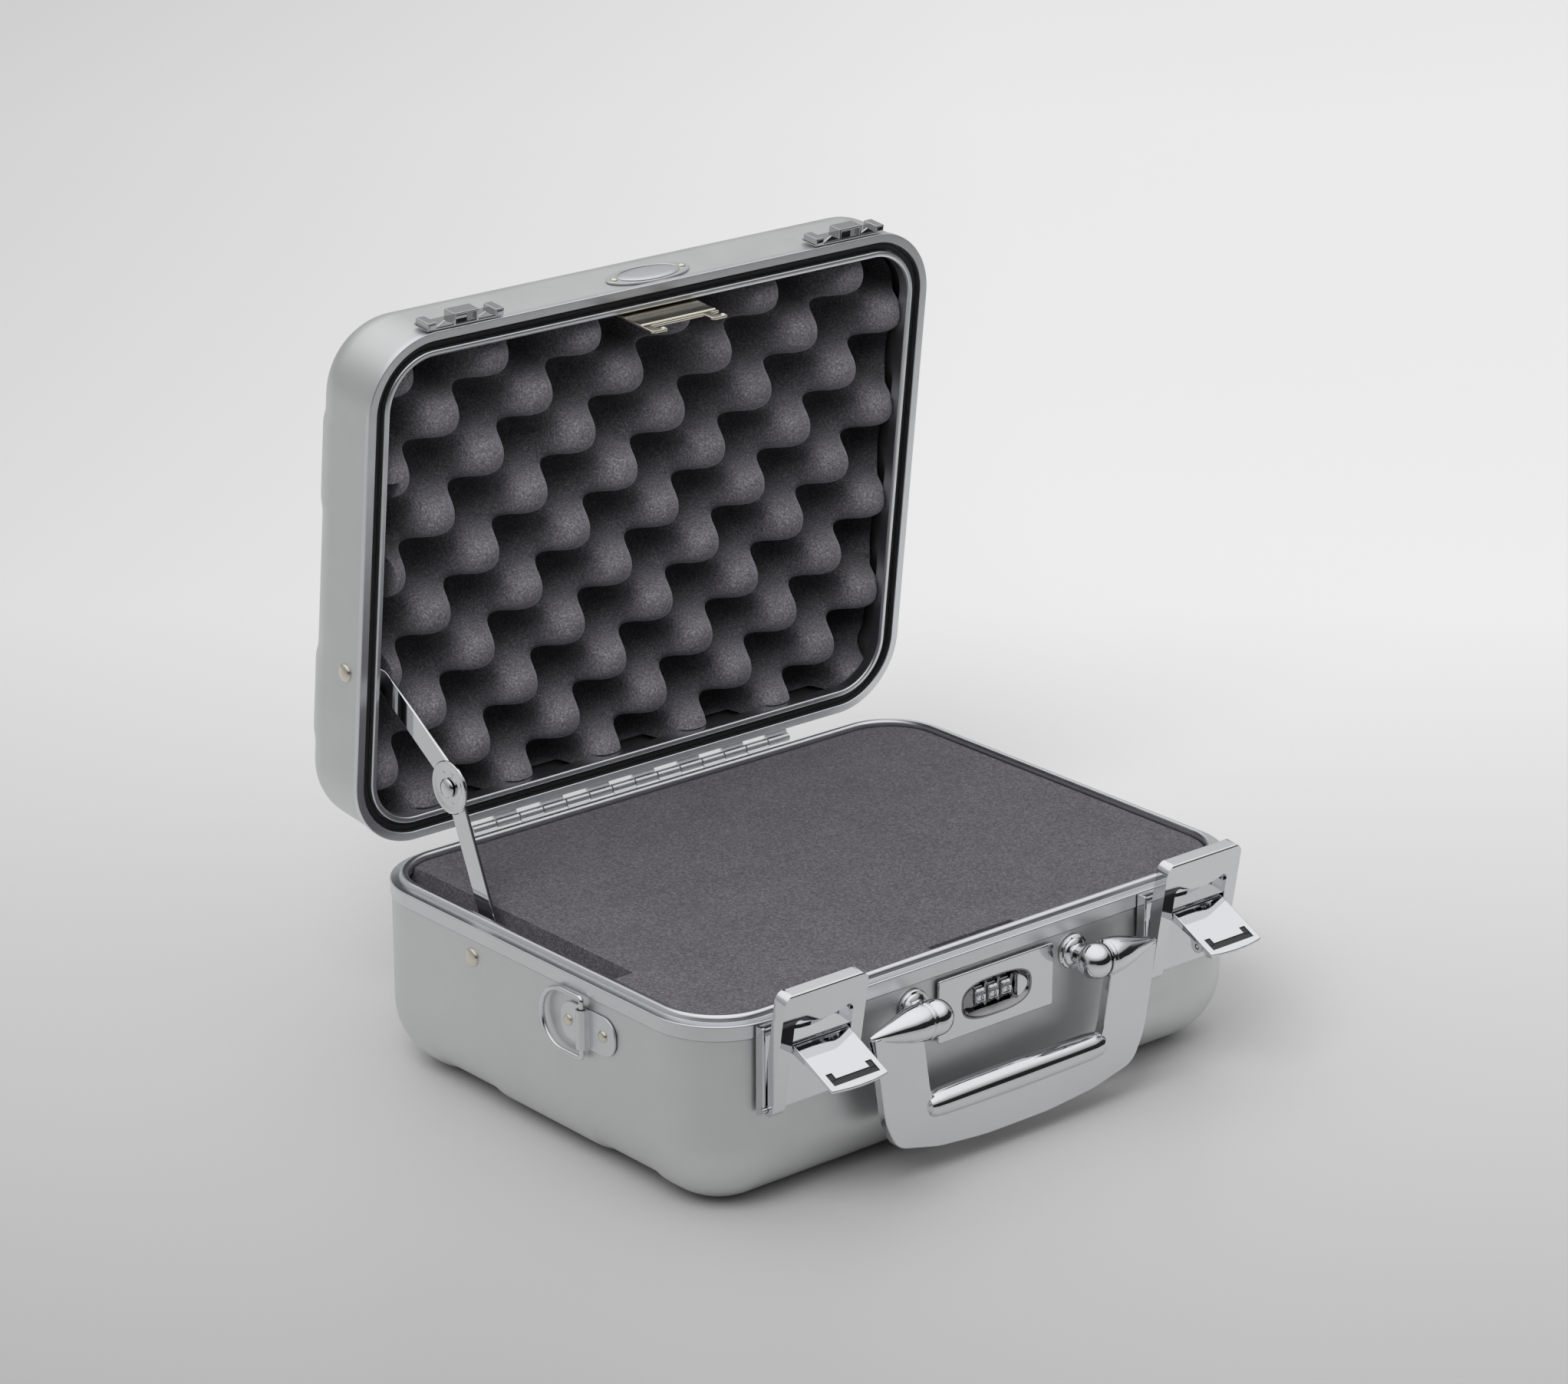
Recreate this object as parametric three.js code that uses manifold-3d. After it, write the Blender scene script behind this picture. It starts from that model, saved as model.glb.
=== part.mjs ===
// Hard-shell aluminium equipment case, open: a deep base and a shallow lid on a piano hinge,
// two draw latches, a combination lock, a carrying handle, an elbow stay, two strap rings, foam.
// Millimetres, +Z up, +X to the right, the latches and handle on the -Y side.
// The origin is the middle of the flat underside.
import * as THREE from "three";
import { mergeVertices } from "three/addons/utils/BufferGeometryUtils.js";
import Module from "manifold-3d";

const wasm = await Module();
wasm.setup();

// ---- Driving dimensions ----
const WIDTH = 356; // over the frames, along X
const DEPTH = 270; // over the frames, along Y
const RIM = 100; // height of the parting plane above the underside
const LID = 50; // lid height above the parting plane, without its ribs
const CORNER_R = 38; // plan corner radius of the frames
const BASE_EDGE_R = 36; // edge radius round the underside
const LID_EDGE_R = 20; // edge radius round the lid panel
const SHELL_INSET = 0.8; // the shells stand this far inside the frames
const WALL = 1.6; // sheet thickness
const GAP = 0.3; // clearance between touching pieces
const OPEN_ANGLE = THREE.MathUtils.degToRad(84); // lid opening where the stay stops it

// Frame extrusion, as insets from the outer face and heights from the parting plane
const BAND = 4.6; // thickness of the outer band
const BASE_BAND_H = 8;
const LEDGE = 0.6; // the base ledge is this far under the parting plane
const TONGUE = [4.9, 9.1]; // tongue of the base frame
const TONGUE_H = 2.6;
const LID_BAND_H = 3.2;
const LIP = [9.4, 12.8]; // inner lip of the lid frame
const GROOVE_DEPTH = 5.2;
const WEB = 1.8; // web thickness behind the groove
const SKIRT = [2.8, 4.4]; // skirt that the shells are riveted over
const BASE_SKIRT_H = 12.5;
const LID_SKIRT_H = 9.6;
const FOAM_INSET = 4.8;

// Pressed stiffening ribs across both panels
const RIB_Y = 62;
const RIB_W = 46;
const RIB_H = 1.8;

// Hinge
const HINGE_Y = DEPTH / 2 + 5;
const HINGE_Z = RIM + 0.6;
const KNUCKLE_R = 2.3;
const KNUCKLES = 14;
const KNUCKLE_PITCH = 15;
const PIN_R = 1.2;
const LEAF_T = 1.2;
const LEAF_H = 20;
const HINGE_RIVET_X = [-80, 0, 80];

// Elbow stay, in the YZ plane with the lid open
const STAY_FOOT = [44, RIM - 17.4];
const STAY_ELBOW = [76.5, RIM + 57.5];
const STAY_HEAD = [142.397, RIM + 101.402];
const LID_RIVET = [40.2, RIM + 13.7]; // the stay's head rivet, with the lid closed
const STAY_W = 12;
const STAY_T = 1.6;
const FOOT_EYE_X = -167.4; // plane of the eye at the base rivet
const HEAD_EYE_X = -163.9; // plane of the eye at the lid rivet
const LOWER_X = -162.3;
const UPPER_X = -160.4;
const DISC_R = 13.5;
const DISC_X = -164.1;
const DISC_T = 1.4;
const STAY_RIVET_R = 2;
const STAY_BORE_R = 2.4;

// Latches
const LATCH_X = 122;
const TRAY_W = 55;
const TRAY_H = [-46, -1]; // from the parting plane
const TRAY_DEPTH = 5.4;
const LEVER_W = 50.8;
const LEVER_TOP = 19.5; // above the parting plane
const LEVER_T = 7.5;
const LEVER_END_R = 3.4;
const LEVER_Y = -DEPTH / 2 - 2.3; // back face of an upright lever
const LEVER_PIN = [LEVER_Y - LEVER_END_R, RIM - 42];
const LEVER_LEAN = THREE.MathUtils.degToRad(9);
const WINDOW_W = 35.6;
const TAB_PIN = [LEVER_Y - 5, RIM - 10];
const TAB_W = 34.4;
const TAB_OPEN = THREE.MathUtils.degToRad(73);
const CATCH_W = 45.6;

// Handle
const HANDLE_X = 52; // ball centres
const HANDLE_Y = -DEPTH / 2 - 15.5;
const HANDLE_Z = RIM - 19.5;
const BALL_R = 9;
const HORN_TIP_X = 93;
const GRIP_DROP = 43; // grip axis below the ball centres

// Lock
const LOCK_W = 74.6;
const LOCK_Z = [-42.6, -10.2];
const LOCK_Y = -DEPTH / 2 - 0.4; // back of the lock plate
const LOCK_T = 1.6;
const DISH_HALF = [23, 10.4];
const DIAL_Z = RIM - 26.6;
const DIAL_Y = -130.3;
const DIAL_R = 5.8;
const DIAL_T = 6;
const DIAL_PITCH = 8.4;
const AXLE_R = 1.3;

// Strap rings
const RING_Y = -45.5; // bar of each ring
const RING_Z = RIM - 24;
const RING_HALF = 15.5;
const RING_WIRE = 1.6;
const RING_LEG = 15;
const RING_PLATE = [-68, -27];

// ---- Finishes ----
const finish = (color, roughness, metalness) => ({ color, roughness, metalness });
const SATIN = finish(0xbfc1c2, 0.38, 0.9);
const BRIGHT = finish(0xd4d7da, 0.22, 1);
const CHROME = finish(0xe6e8ea, 0.06, 1);
const NICKEL = finish(0xcfc8b6, 0.2, 1);
const BLACK = finish(0x17181a, 0.7, 0);
const FOAM = finish(0x4b484d, 0.98, 0);
const EGG_FOAM = finish(0x37353a, 0.98, 0);

// ---- Solids ----
// A closed three.js geometry as a solid for joining and cutting.
function solid(geometry) {
  const bare = geometry.index ? geometry.toNonIndexed() : geometry.clone();
  bare.deleteAttribute("normal");
  bare.deleteAttribute("uv");
  const merged = mergeVertices(bare, 1e-4);
  return new wasm.Manifold(
    new wasm.Mesh({
      numProp: 3,
      vertProperties: new Float32Array(merged.attributes.position.array),
      triVerts: new Uint32Array(merged.index.array),
    }),
  );
}

const join = (...solids) => solids.reduce((whole, next) => whole.add(next));
const cut = (body, ...tools) => tools.reduce((rest, tool) => rest.subtract(tool), body);

// A box between two x, two y and two z values.
function box([x0, x1], [y0, y1], [z0, z1]) {
  const geometry = new THREE.BoxGeometry(x1 - x0, y1 - y0, z1 - z0);
  return solid(geometry.translate((x0 + x1) / 2, (y0 + y1) / 2, (z0 + z1) / 2));
}

// A cylinder along "x", "y" or "z" from one coordinate to another.
function rod(axis, radius, from, to, [a, b], sides = 14) {
  const geometry = new THREE.CylinderGeometry(radius, radius, to - from, sides);
  const middle = (from + to) / 2;
  if (axis === "x") geometry.rotateZ(Math.PI / 2).translate(middle, a, b);
  if (axis === "y") geometry.translate(a, middle, b);
  if (axis === "z") geometry.rotateX(Math.PI / 2).translate(a, b, middle);
  return solid(geometry);
}

function ball(radius, x, y, z, sides = 16) {
  return solid(new THREE.SphereGeometry(radius, sides, sides / 2).translate(x, y, z));
}

// A solid of revolution about the X axis through (y, z); the profile is [x, radius] pairs.
function turnedAlongX(profile, y, z, sides = 16) {
  const points = profile.map(([x, r]) => new THREE.Vector2(r, x));
  const geometry = new THREE.LatheGeometry(points, sides);
  return solid(geometry.rotateZ(-Math.PI / 2).translate(0, y, z));
}

function roundedRect(w, h, r) {
  const shape = new THREE.Shape();
  const x = w / 2 - r;
  const y = h / 2 - r;
  shape.absarc(x, y, r, 0, Math.PI / 2);
  shape.absarc(-x, y, r, Math.PI / 2, Math.PI);
  shape.absarc(-x, -y, r, Math.PI, 1.5 * Math.PI);
  shape.absarc(x, -y, r, 1.5 * Math.PI, 2 * Math.PI);
  shape.closePath();
  return shape;
}

const plan = (inset) =>
  roundedRect(WIDTH - 2 * inset, DEPTH - 2 * inset, CORNER_R - inset);

function extrude(shape, from, to, curveSegments = 4) {
  const options = { depth: to - from, bevelEnabled: false, curveSegments };
  return solid(new THREE.ExtrudeGeometry(shape, options).translate(0, 0, from));
}

// A closed ring that follows the case outline between two insets and two heights.
function ring([outer, inner], [from, to]) {
  return cut(extrude(plan(outer), from, to), extrude(plan(inner), from - 1, to + 1));
}

// A block that follows the case outline from its closed end at z = floor, whose edge is rounded,
// to its open end at z = open, above or below the floor.
function pan(inset, floor, open, edge) {
  const direction = Math.sign(open - floor);
  const options = {
    depth: Math.abs(open - floor),
    bevelEnabled: true,
    bevelThickness: edge,
    bevelSize: edge,
    bevelOffset: -edge,
    bevelSegments: 4,
    curveSegments: 4,
  };
  const block = new THREE.ExtrudeGeometry(plan(inset), options);
  if (direction < 0) block.rotateX(Math.PI);
  block.translate(0, 0, floor + direction * edge);
  const beyond = [open, open + direction * (2 * edge + 5)].sort((a, b) => a - b);
  return cut(solid(block), box([-WIDTH, WIDTH], [-DEPTH, DEPTH], beyond));
}

// Two bands across a pan, taken from the same pan moved by the rib height.
function pressed(flat, moved) {
  const bands = join(
    ...[-RIB_Y, RIB_Y].map((y) =>
      box([-WIDTH, WIDTH], [y - RIB_W / 2, y + RIB_W / 2], [-20, RIM * 2]),
    ),
  );
  return cut(flat, bands).add(moved.intersect(bands));
}

// ---- Scene graph ----
const suitcase = new THREE.Group();

// Adds a named mesh made from a solid to a group.
function piece(group, name, body, look) {
  const { vertProperties, triVerts } = body.getMesh();
  const geometry = new THREE.BufferGeometry();
  geometry.setAttribute("position", new THREE.BufferAttribute(vertProperties, 3));
  geometry.setIndex(new THREE.BufferAttribute(triVerts, 1));
  const mesh = new THREE.Mesh(geometry, new THREE.MeshStandardMaterial(look));
  mesh.name = name;
  group.add(mesh);
  return mesh;
}

// A group whose pieces, drawn unturned, are turned about an X axis through (y, z).
function turnedGroup(parent, [y, z], angle) {
  const pivot = new THREE.Group();
  pivot.position.set(0, y, z);
  pivot.rotation.x = angle;
  const content = new THREE.Group();
  content.position.set(0, -y, -z);
  pivot.add(content);
  parent.add(pivot);
  return content;
}

const lid = turnedGroup(suitcase, [HINGE_Y, HINGE_Z], -OPEN_ANGLE);

// ---- Base ----
const rim = ([from, to]) => [RIM + from, RIM + to];

function holesX(side, r, places) {
  return places.map(([y, z]) => {
    const span = [side * 182, side * 170].sort((a, b) => a - b);
    return rod("x", r, span[0], span[1], [y, z], 12);
  });
}

function holesY(r, yRange, places) {
  return places.map(([x, z]) => rod("y", r, yRange[0], yRange[1], [x, z], 12));
}

const RING_RIVET_Y = [-33, -59];
const FRONT_WALL = [-140, -130];
const BACK_WALL = [130, 140];

function oval(halfW, halfH) {
  const shape = new THREE.Shape();
  shape.absellipse(0, 0, halfW, halfH, 0, 2 * Math.PI);
  return shape;
}

// An extrusion whose outline stands in the XZ plane, between two Y values.
function upright(shape, [near, far], [x, z], curveSegments = 6) {
  const options = { depth: far - near, bevelEnabled: false, curveSegments };
  const geometry = new THREE.ExtrudeGeometry(shape, options);
  return solid(geometry.rotateX(Math.PI / 2).translate(x, far, z));
}

function baseShell() {
  const top = RIM - BASE_BAND_H - GAP;
  const inner = SHELL_INSET + WALL;
  const outerPan = (lift) => pan(SHELL_INSET, lift, top, BASE_EDGE_R);
  const innerPan = (lift) => pan(inner, WALL + lift, top + 1, BASE_EDGE_R - WALL);
  const ringPlaces = RING_RIVET_Y.map((y) => [y, RING_Z]);
  return cut(
    pressed(outerPan(0), outerPan(RIB_H)),
    pressed(innerPan(0), innerPan(RIB_H)),
    ...holesX(-1, STAY_BORE_R, [STAY_FOOT]),
    ...holesX(-1, 1.8, ringPlaces),
    ...holesX(1, 1.8, ringPlaces),
    ...holesY(3.4, FRONT_WALL, [[-HANDLE_X, HANDLE_Z], [HANDLE_X, HANDLE_Z]]),
    ...holesY(1.8, BACK_WALL, HINGE_RIVET_X.map((x) => [x, RIM - 16])),
    upright(oval(DISH_HALF[0] + 0.5, DISH_HALF[1] + 0.5), FRONT_WALL, [0, DIAL_Z]),
  );
}

function baseFrame() {
  return join(
    ring([0, BAND], rim([-BASE_BAND_H, -LEDGE])),
    ring([SKIRT[0], TONGUE[1]], rim([-3.2, -LEDGE])),
    ring(TONGUE, rim([-2, TONGUE_H])),
    ring(SKIRT, rim([-BASE_SKIRT_H, -2])),
  );
}

function baseFoam() {
  const shoulder = RIM - 3.6;
  const block = pan(FOAM_INSET, WALL + RIB_H + 0.4, shoulder, BASE_EDGE_R - 3);
  const plug = extrude(plan(TONGUE[1] + 0.4), shoulder - 1, RIM - 0.5);
  const staySlot = box([-180, -154], [-52, 129], rim([-34, 5]));
  const lockPocket = box([-34, 40], [-140, -117.5], rim([-48, 5]));
  return cut(join(block, plug), staySlot, lockPocket);
}

piece(suitcase, "base_shell", baseShell(), SATIN);
piece(suitcase, "base_frame", baseFrame(), BRIGHT);
piece(suitcase, "base_foam", baseFoam(), FOAM);

// ---- Lid, drawn closed ----
function lidShell() {
  const open = RIM + LID_BAND_H + GAP;
  const top = RIM + LID;
  const inner = SHELL_INSET + WALL;
  const outerPan = (rise) => pan(SHELL_INSET, top + rise, open, LID_EDGE_R);
  const innerPan = (rise) => pan(inner, top - WALL + rise, open - 1, LID_EDGE_R - WALL);
  return cut(
    pressed(outerPan(0), outerPan(RIB_H)),
    pressed(innerPan(0), innerPan(RIB_H)),
    ...holesX(-1, STAY_BORE_R, [LID_RIVET]),
    ...holesY(1.8, BACK_WALL, HINGE_RIVET_X.map((x) => [x, RIM + 16])),
  );
}

function lidFrame() {
  return join(
    ring([0, BAND], rim([0, LID_BAND_H])),
    ring([SKIRT[0], BAND], rim([1, GROOVE_DEPTH + WEB])),
    ring([SKIRT[0], LIP[1]], rim([GROOVE_DEPTH, GROOVE_DEPTH + WEB])),
    ring(LIP, rim([0.2, GROOVE_DEPTH + WEB])),
    ring(SKIRT, rim([GROOVE_DEPTH, LID_SKIRT_H])),
  );
}

function lidFoam() {
  const shoulder = GROOVE_DEPTH + WEB + 0.5;
  const block = pan(FOAM_INSET, RIM + LID - WALL - 0.6, RIM + shoulder, LID_EDGE_R - 3);
  const plug = extrude(plan(LIP[1] + 0.4), RIM + 3, RIM + shoulder + 1);
  const staySlot = box([-180, -155.5], [-58, 60], rim([-1, 38]));
  const keeperPocket = box([-30, 28], [-135, -118], rim([-1, 12]));
  return cut(join(block, plug), staySlot, keeperPocket);
}

piece(lid, "lid_shell", lidShell(), SATIN);
piece(lid, "lid_frame", lidFrame(), BRIGHT);
piece(lid, "lid_gasket", ring([4.9, 9.1], rim([2.9, 4.9])), BLACK);
piece(lid, "lid_foam", lidFoam(), EGG_FOAM);

// ---- Piano hinge ----
// One leaf with every second knuckle; side is -1 for the base leaf and 1 for the lid leaf.
function hingeLeaf(side) {
  const face = DEPTH / 2 + GAP;
  const halfLength = (KNUCKLES * KNUCKLE_PITCH) / 2;
  const span = (near, far) => [HINGE_Z + side * near, HINGE_Z + side * far].sort((a, b) => a - b);
  const leaf = box([-halfLength, halfLength], [face, face + LEAF_T], span(2.9, LEAF_H));
  const first = side < 0 ? 0 : 1;
  const parts = [leaf];
  for (let k = first; k < KNUCKLES; k += 2) {
    const from = -halfLength + k * KNUCKLE_PITCH + GAP;
    const to = from + KNUCKLE_PITCH - 2 * GAP;
    parts.push(rod("x", KNUCKLE_R, from, to, [HINGE_Y, HINGE_Z], 12));
    parts.push(box([from, to], [face, HINGE_Y], span(1.4, 3.4)));
  }
  const bore = rod("x", PIN_R + GAP, -halfLength - 1, halfLength + 1, [HINGE_Y, HINGE_Z], 8);
  const rivetZ = RIM + side * 16;
  return cut(join(...parts), bore, ...holesY(1.8, BACK_WALL, HINGE_RIVET_X.map((x) => [x, rivetZ])));
}

// A rivet along Y with its head outside the back wall.
function hingeRivet(x, z) {
  const head = rod("y", 3, 136.8, 137.9, [x, z], 10);
  const tail = rod("y", 2.7, 131.3, 132.3, [x, z], 10);
  return join(head, rod("y", 1.5, 131.5, 137, [x, z], 8), tail);
}

const pinHalf = (KNUCKLES * KNUCKLE_PITCH) / 2;
piece(suitcase, "hinge_base_leaf", hingeLeaf(-1), BRIGHT);
piece(lid, "hinge_lid_leaf", hingeLeaf(1), BRIGHT);
piece(suitcase, "hinge_pin", rod("x", PIN_R, -pinHalf, pinHalf, [HINGE_Y, HINGE_Z], 8), BRIGHT);
HINGE_RIVET_X.forEach((x, i) => {
  piece(suitcase, `hinge_base_rivet_${i + 1}`, hingeRivet(x, RIM - 16), BRIGHT);
  piece(lid, `hinge_lid_rivet_${i + 1}`, hingeRivet(x, RIM + 16), BRIGHT);
});

// ---- Elbow stay ----
// A flat strap along +Y from its foot at the origin, with an eye end and a sideways joggle.
function strap(length, eyeX, mainX, endR) {
  const t = STAY_T / 2;
  const half = STAY_W / 2;
  const side = new THREE.Shape();
  side.moveTo(-half, eyeX - t);
  side.lineTo(4, eyeX - t);
  side.lineTo(9, mainX - t);
  side.lineTo(length + endR, mainX - t);
  side.lineTo(length + endR, mainX + t);
  side.lineTo(8.2, mainX + t);
  side.lineTo(3.2, eyeX + t);
  side.lineTo(-half, eyeX + t);
  side.closePath();
  const options = { depth: 2 * endR, bevelEnabled: false };
  const band = new THREE.ExtrudeGeometry(side, options).translate(0, 0, -endR);
  // (u, x) of the profile to (y, x), keeping a right-handed frame
  band.applyMatrix4(new THREE.Matrix4().set(0, 1, 0, 0, 1, 0, 0, 0, 0, 0, -1, 0, 0, 0, 0, 1));
  const x = [-200, -140];
  const outline = join(
    rod("x", half, x[0], x[1], [0, 0], 20),
    rod("x", endR, x[0], x[1], [length, 0], 20),
    box(x, [0, length], [-half, half]),
  );
  return solid(band).intersect(outline);
}

// Adds one link of the stay, drawn along +Y and turned about X to lie between two pivots.
function addStayLink(name, from, to, eyeX, mainX, endR) {
  const length = Math.hypot(to[0] - from[0], to[1] - from[1]);
  const bores = [0, length].map((u) => rod("x", STAY_BORE_R, -200, -140, [u, 0], 12));
  const link = piece(suitcase, name, cut(strap(length, eyeX, mainX, endR), ...bores), CHROME);
  link.position.set(0, from[0], from[1]);
  link.rotation.x = Math.atan2(to[1] - from[1], to[0] - from[0]);
}

// A rivet through the left wall: outside head, shank, and a collar that stands the link off.
function wallRivet([y, z], collarEnd, tip) {
  const outside = -WIDTH / 2 + SHELL_INSET;
  const head = rod("x", 4.7, outside - 1.5, outside - GAP, [y, z], 16);
  const shank = rod("x", STAY_RIVET_R, outside - 1, tip, [y, z], 12);
  const collar = rod("x", 3.6, outside + WALL + GAP, collarEnd, [y, z], 14);
  return join(head, shank, collar);
}

function footRivet() {
  const tail = rod("x", 3.4, -166.3, -165.4, STAY_FOOT, 14);
  return join(wallRivet(STAY_FOOT, FOOT_EYE_X - 1.1, -165.4), tail);
}

function stayDisc() {
  const half = DISC_T / 2;
  const disc = rod("x", DISC_R, DISC_X - half, DISC_X + half, STAY_ELBOW, 28);
  return cut(disc, rod("x", STAY_BORE_R, -180, -150, STAY_ELBOW, 12));
}

function elbowRivet() {
  const outer = rod("x", 3.6, DISC_X - 2.3, DISC_X - DISC_T / 2 - GAP, STAY_ELBOW, 14);
  const shank = rod("x", STAY_RIVET_R, DISC_X - 1.6, UPPER_X + 2, STAY_ELBOW, 12);
  const inner = rod("x", 3.6, UPPER_X + 1.1, UPPER_X + 2, STAY_ELBOW, 14);
  return join(outer, shank, inner);
}

addStayLink("stay_lower_link", STAY_FOOT, STAY_ELBOW, FOOT_EYE_X, LOWER_X, 9);
addStayLink("stay_upper_link", STAY_HEAD, STAY_ELBOW, HEAD_EYE_X, UPPER_X, 8);
piece(suitcase, "stay_friction_disc", stayDisc(), CHROME);
piece(suitcase, "stay_elbow_rivet", elbowRivet(), CHROME);
piece(suitcase, "stay_base_rivet", footRivet(), BRIGHT);
piece(lid, "stay_lid_rivet", wallRivet(LID_RIVET, -166.4, HEAD_EYE_X - 1.6), BRIGHT);

// ---- Latches ----
// A shallow tray screwed to the front wall, with side flanges that carry the lever's pin.
function latchTray(x) {
  const back = -DEPTH / 2 - 0.4;
  const half = TRAY_W / 2;
  const plate = box([x - half, x + half], [back - 1.4, back], rim(TRAY_H));
  const flanges = [-1, 1].map((s) => {
    const span = [x + s * half, x + s * (half - 1.5)].sort((a, b) => a - b);
    return box(span, [back - TRAY_DEPTH, back], rim(TRAY_H));
  });
  const pinHoles = rod("x", 1.5, x - half - 1, x + half + 1, LEVER_PIN, 10);
  return cut(join(plate, ...flanges), pinHoles);
}

// A hollow-backed lever, open below its window so that the tab lies between its two legs.
function latchLever(x) {
  const half = LEVER_W / 2;
  const front = LEVER_Y - LEVER_T;
  const block = join(
    box([x - half, x + half], [front, LEVER_Y], [LEVER_PIN[1], RIM + LEVER_TOP - 3]),
    box([x - half + 3, x + half - 3], [front, LEVER_Y], rim([0, LEVER_TOP])),
    rod("x", LEVER_END_R, x - half, x + half, LEVER_PIN, 16),
    ...[-1, 1].map((s) => rod("y", 3, front, LEVER_Y, [x + s * (half - 3), RIM + LEVER_TOP - 3])),
  );
  const pocketHalf = half - 2;
  const pocket = box(
    [x - pocketHalf, x + pocketHalf],
    [front + 2.2, LEVER_Y + 1],
    rim([-37, LEVER_TOP - 2.5]),
  );
  const windowTop = RIM + 3.5;
  const opening = box(
    [x - WINDOW_W / 2, x + WINDOW_W / 2],
    [front - 1, LEVER_Y + 1],
    [LEVER_PIN[1] - 10, windowTop],
  );
  const pinHole = rod("x", 1.5, x - half - 1, x + half + 1, LEVER_PIN, 10);
  const tabHole = rod("x", 1.5, x - WINDOW_W / 2 - 3, x + WINDOW_W / 2 + 3, TAB_PIN, 10);
  const ears = [-1, 1].map((s) => {
    const span = [x + s * (WINDOW_W / 2), x + s * (WINDOW_W / 2 + 4)].sort((a, b) => a - b);
    return box(span, [front, LEVER_Y - 1.5], rim([-14, -6]));
  });
  return cut(join(cut(block, pocket, opening), ...ears), pinHole, tabHole);
}

// The paddle, drawn folded flat into the lever: paddle below its hub, short tail above it.
function latchTab(x) {
  const half = TAB_W / 2;
  const front = LEVER_Y - LEVER_T;
  const paddle = box([x - half, x + half], [front, front + 2.6], rim([-43.8, -10]));
  const hub = rod("x", 2.5, x - half, x + half, TAB_PIN, 14);
  const tail = box([x - half + 1, x + half - 1], [front + 1.4, front + 3.4], rim([-10, -5.2]));
  const fingerSlot = box([x - 9, x + 9], [front - 1, front + 4], rim([-38, -35]));
  return cut(join(paddle, hub, tail), rod("x", 1.5, x - 30, x + 30, TAB_PIN, 10), fingerSlot);
}

// The lid's catch: a plate with end blocks, side ramps and a raised square loop.
function lidCatch(x) {
  const back = -DEPTH / 2 - 0.4;
  const half = CATCH_W / 2;
  const plate = box([x - half, x + half], [back - 1.4, back], rim([0.6, 12]));
  const ends = [-1, 1].map((s) => {
    const span = [x + s * half, x + s * (half - 4)].sort((a, b) => a - b);
    return box(span, [back - 4.2, back], rim([0.6, 4]));
  });
  const loop = box([x - 7.5, x + 7.5], [back - 6.6, back], rim([0.6, 9]));
  const throat = box([x - 5, x + 5], [back - 4.8, back - 1.4], rim([-1, 12.5]));
  const feet = box([x - 13, x + 13], [back - 2.6, back], rim([0.6, 3.2]));
  return cut(join(plate, ...ends, feet, loop), throat);
}

function addLatch(side, name) {
  const x = side * LATCH_X;
  const half = TRAY_W / 2;
  piece(suitcase, `latch_tray_${name}`, latchTray(x), CHROME);
  piece(suitcase, `latch_pin_${name}`, rod("x", 1.2, x - half, x + half, LEVER_PIN, 8), CHROME);
  const lever = turnedGroup(suitcase, LEVER_PIN, LEVER_LEAN);
  piece(lever, `latch_lever_${name}`, latchLever(x), CHROME);
  const pinReach = WINDOW_W / 2 + 2.6;
  piece(lever, `latch_tab_pin_${name}`, rod("x", 1.2, x - pinReach, x + pinReach, TAB_PIN, 8), CHROME);
  const tab = turnedGroup(lever, TAB_PIN, -TAB_OPEN);
  piece(tab, `latch_tab_${name}`, latchTab(x), CHROME);
  piece(lid, `lid_catch_${name}`, lidCatch(x), CHROME);
}

addLatch(-1, "left");
addLatch(1, "right");

// ---- Carrying handle ----
// A post: flange and screw on the front wall, neck, ball, and the stub that the handle turns on.
function handlePost(side) {
  const x = side * HANDLE_X;
  const place = [x, HANDLE_Z];
  const wall = -DEPTH / 2 + SHELL_INSET;
  const reach = [x, x + side * 17].sort((a, b) => a - b);
  return join(
    rod("y", 5, wall + WALL + GAP, wall + WALL + 1.5, place, 12),
    rod("y", 3, wall - 1, wall + WALL + 1, place, 12),
    rod("y", 9, wall - 2.2, wall - GAP, place, 20),
    rod("y", 4.2, HANDLE_Y, wall - 1.5, place, 14),
    ball(BALL_R, x, HANDLE_Y, HANDLE_Z),
    rod("x", 3, reach[0], reach[1], [HANDLE_Y, HANDLE_Z], 12),
  );
}

// The U plate between the horns, as an outline in the XZ plane.
function handlePlate() {
  const top = 0;
  const drop = -69;
  const shape = new THREE.Shape();
  shape.moveTo(-91, top);
  shape.lineTo(-82, drop + 16);
  shape.quadraticCurveTo(-79, drop + 2, -64, drop);
  shape.lineTo(64, drop);
  shape.quadraticCurveTo(79, drop + 2, 82, drop + 16);
  shape.lineTo(91, top);
  shape.lineTo(62, top);
  shape.lineTo(55, -GRIP_DROP);
  shape.lineTo(-55, -GRIP_DROP);
  shape.lineTo(-62, top);
  shape.closePath();
  return upright(shape, [HANDLE_Y - 2.6, HANDLE_Y + 2.6], [0, HANDLE_Z]);
}

// One tapering arm of the handle, on the side of the given sign, round the line of the stubs.
function horn(side) {
  const tip = HORN_TIP_X;
  const profile = [[57, 0], [57, 8.4], [66, 7.6], [80, 4.6], [tip - 1, 1.6], [tip, 0]];
  const mirrored = profile.map(([x, r]) => [-x, r]).reverse();
  return turnedAlongX(side > 0 ? profile : mirrored, HANDLE_Y, HANDLE_Z);
}

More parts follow.
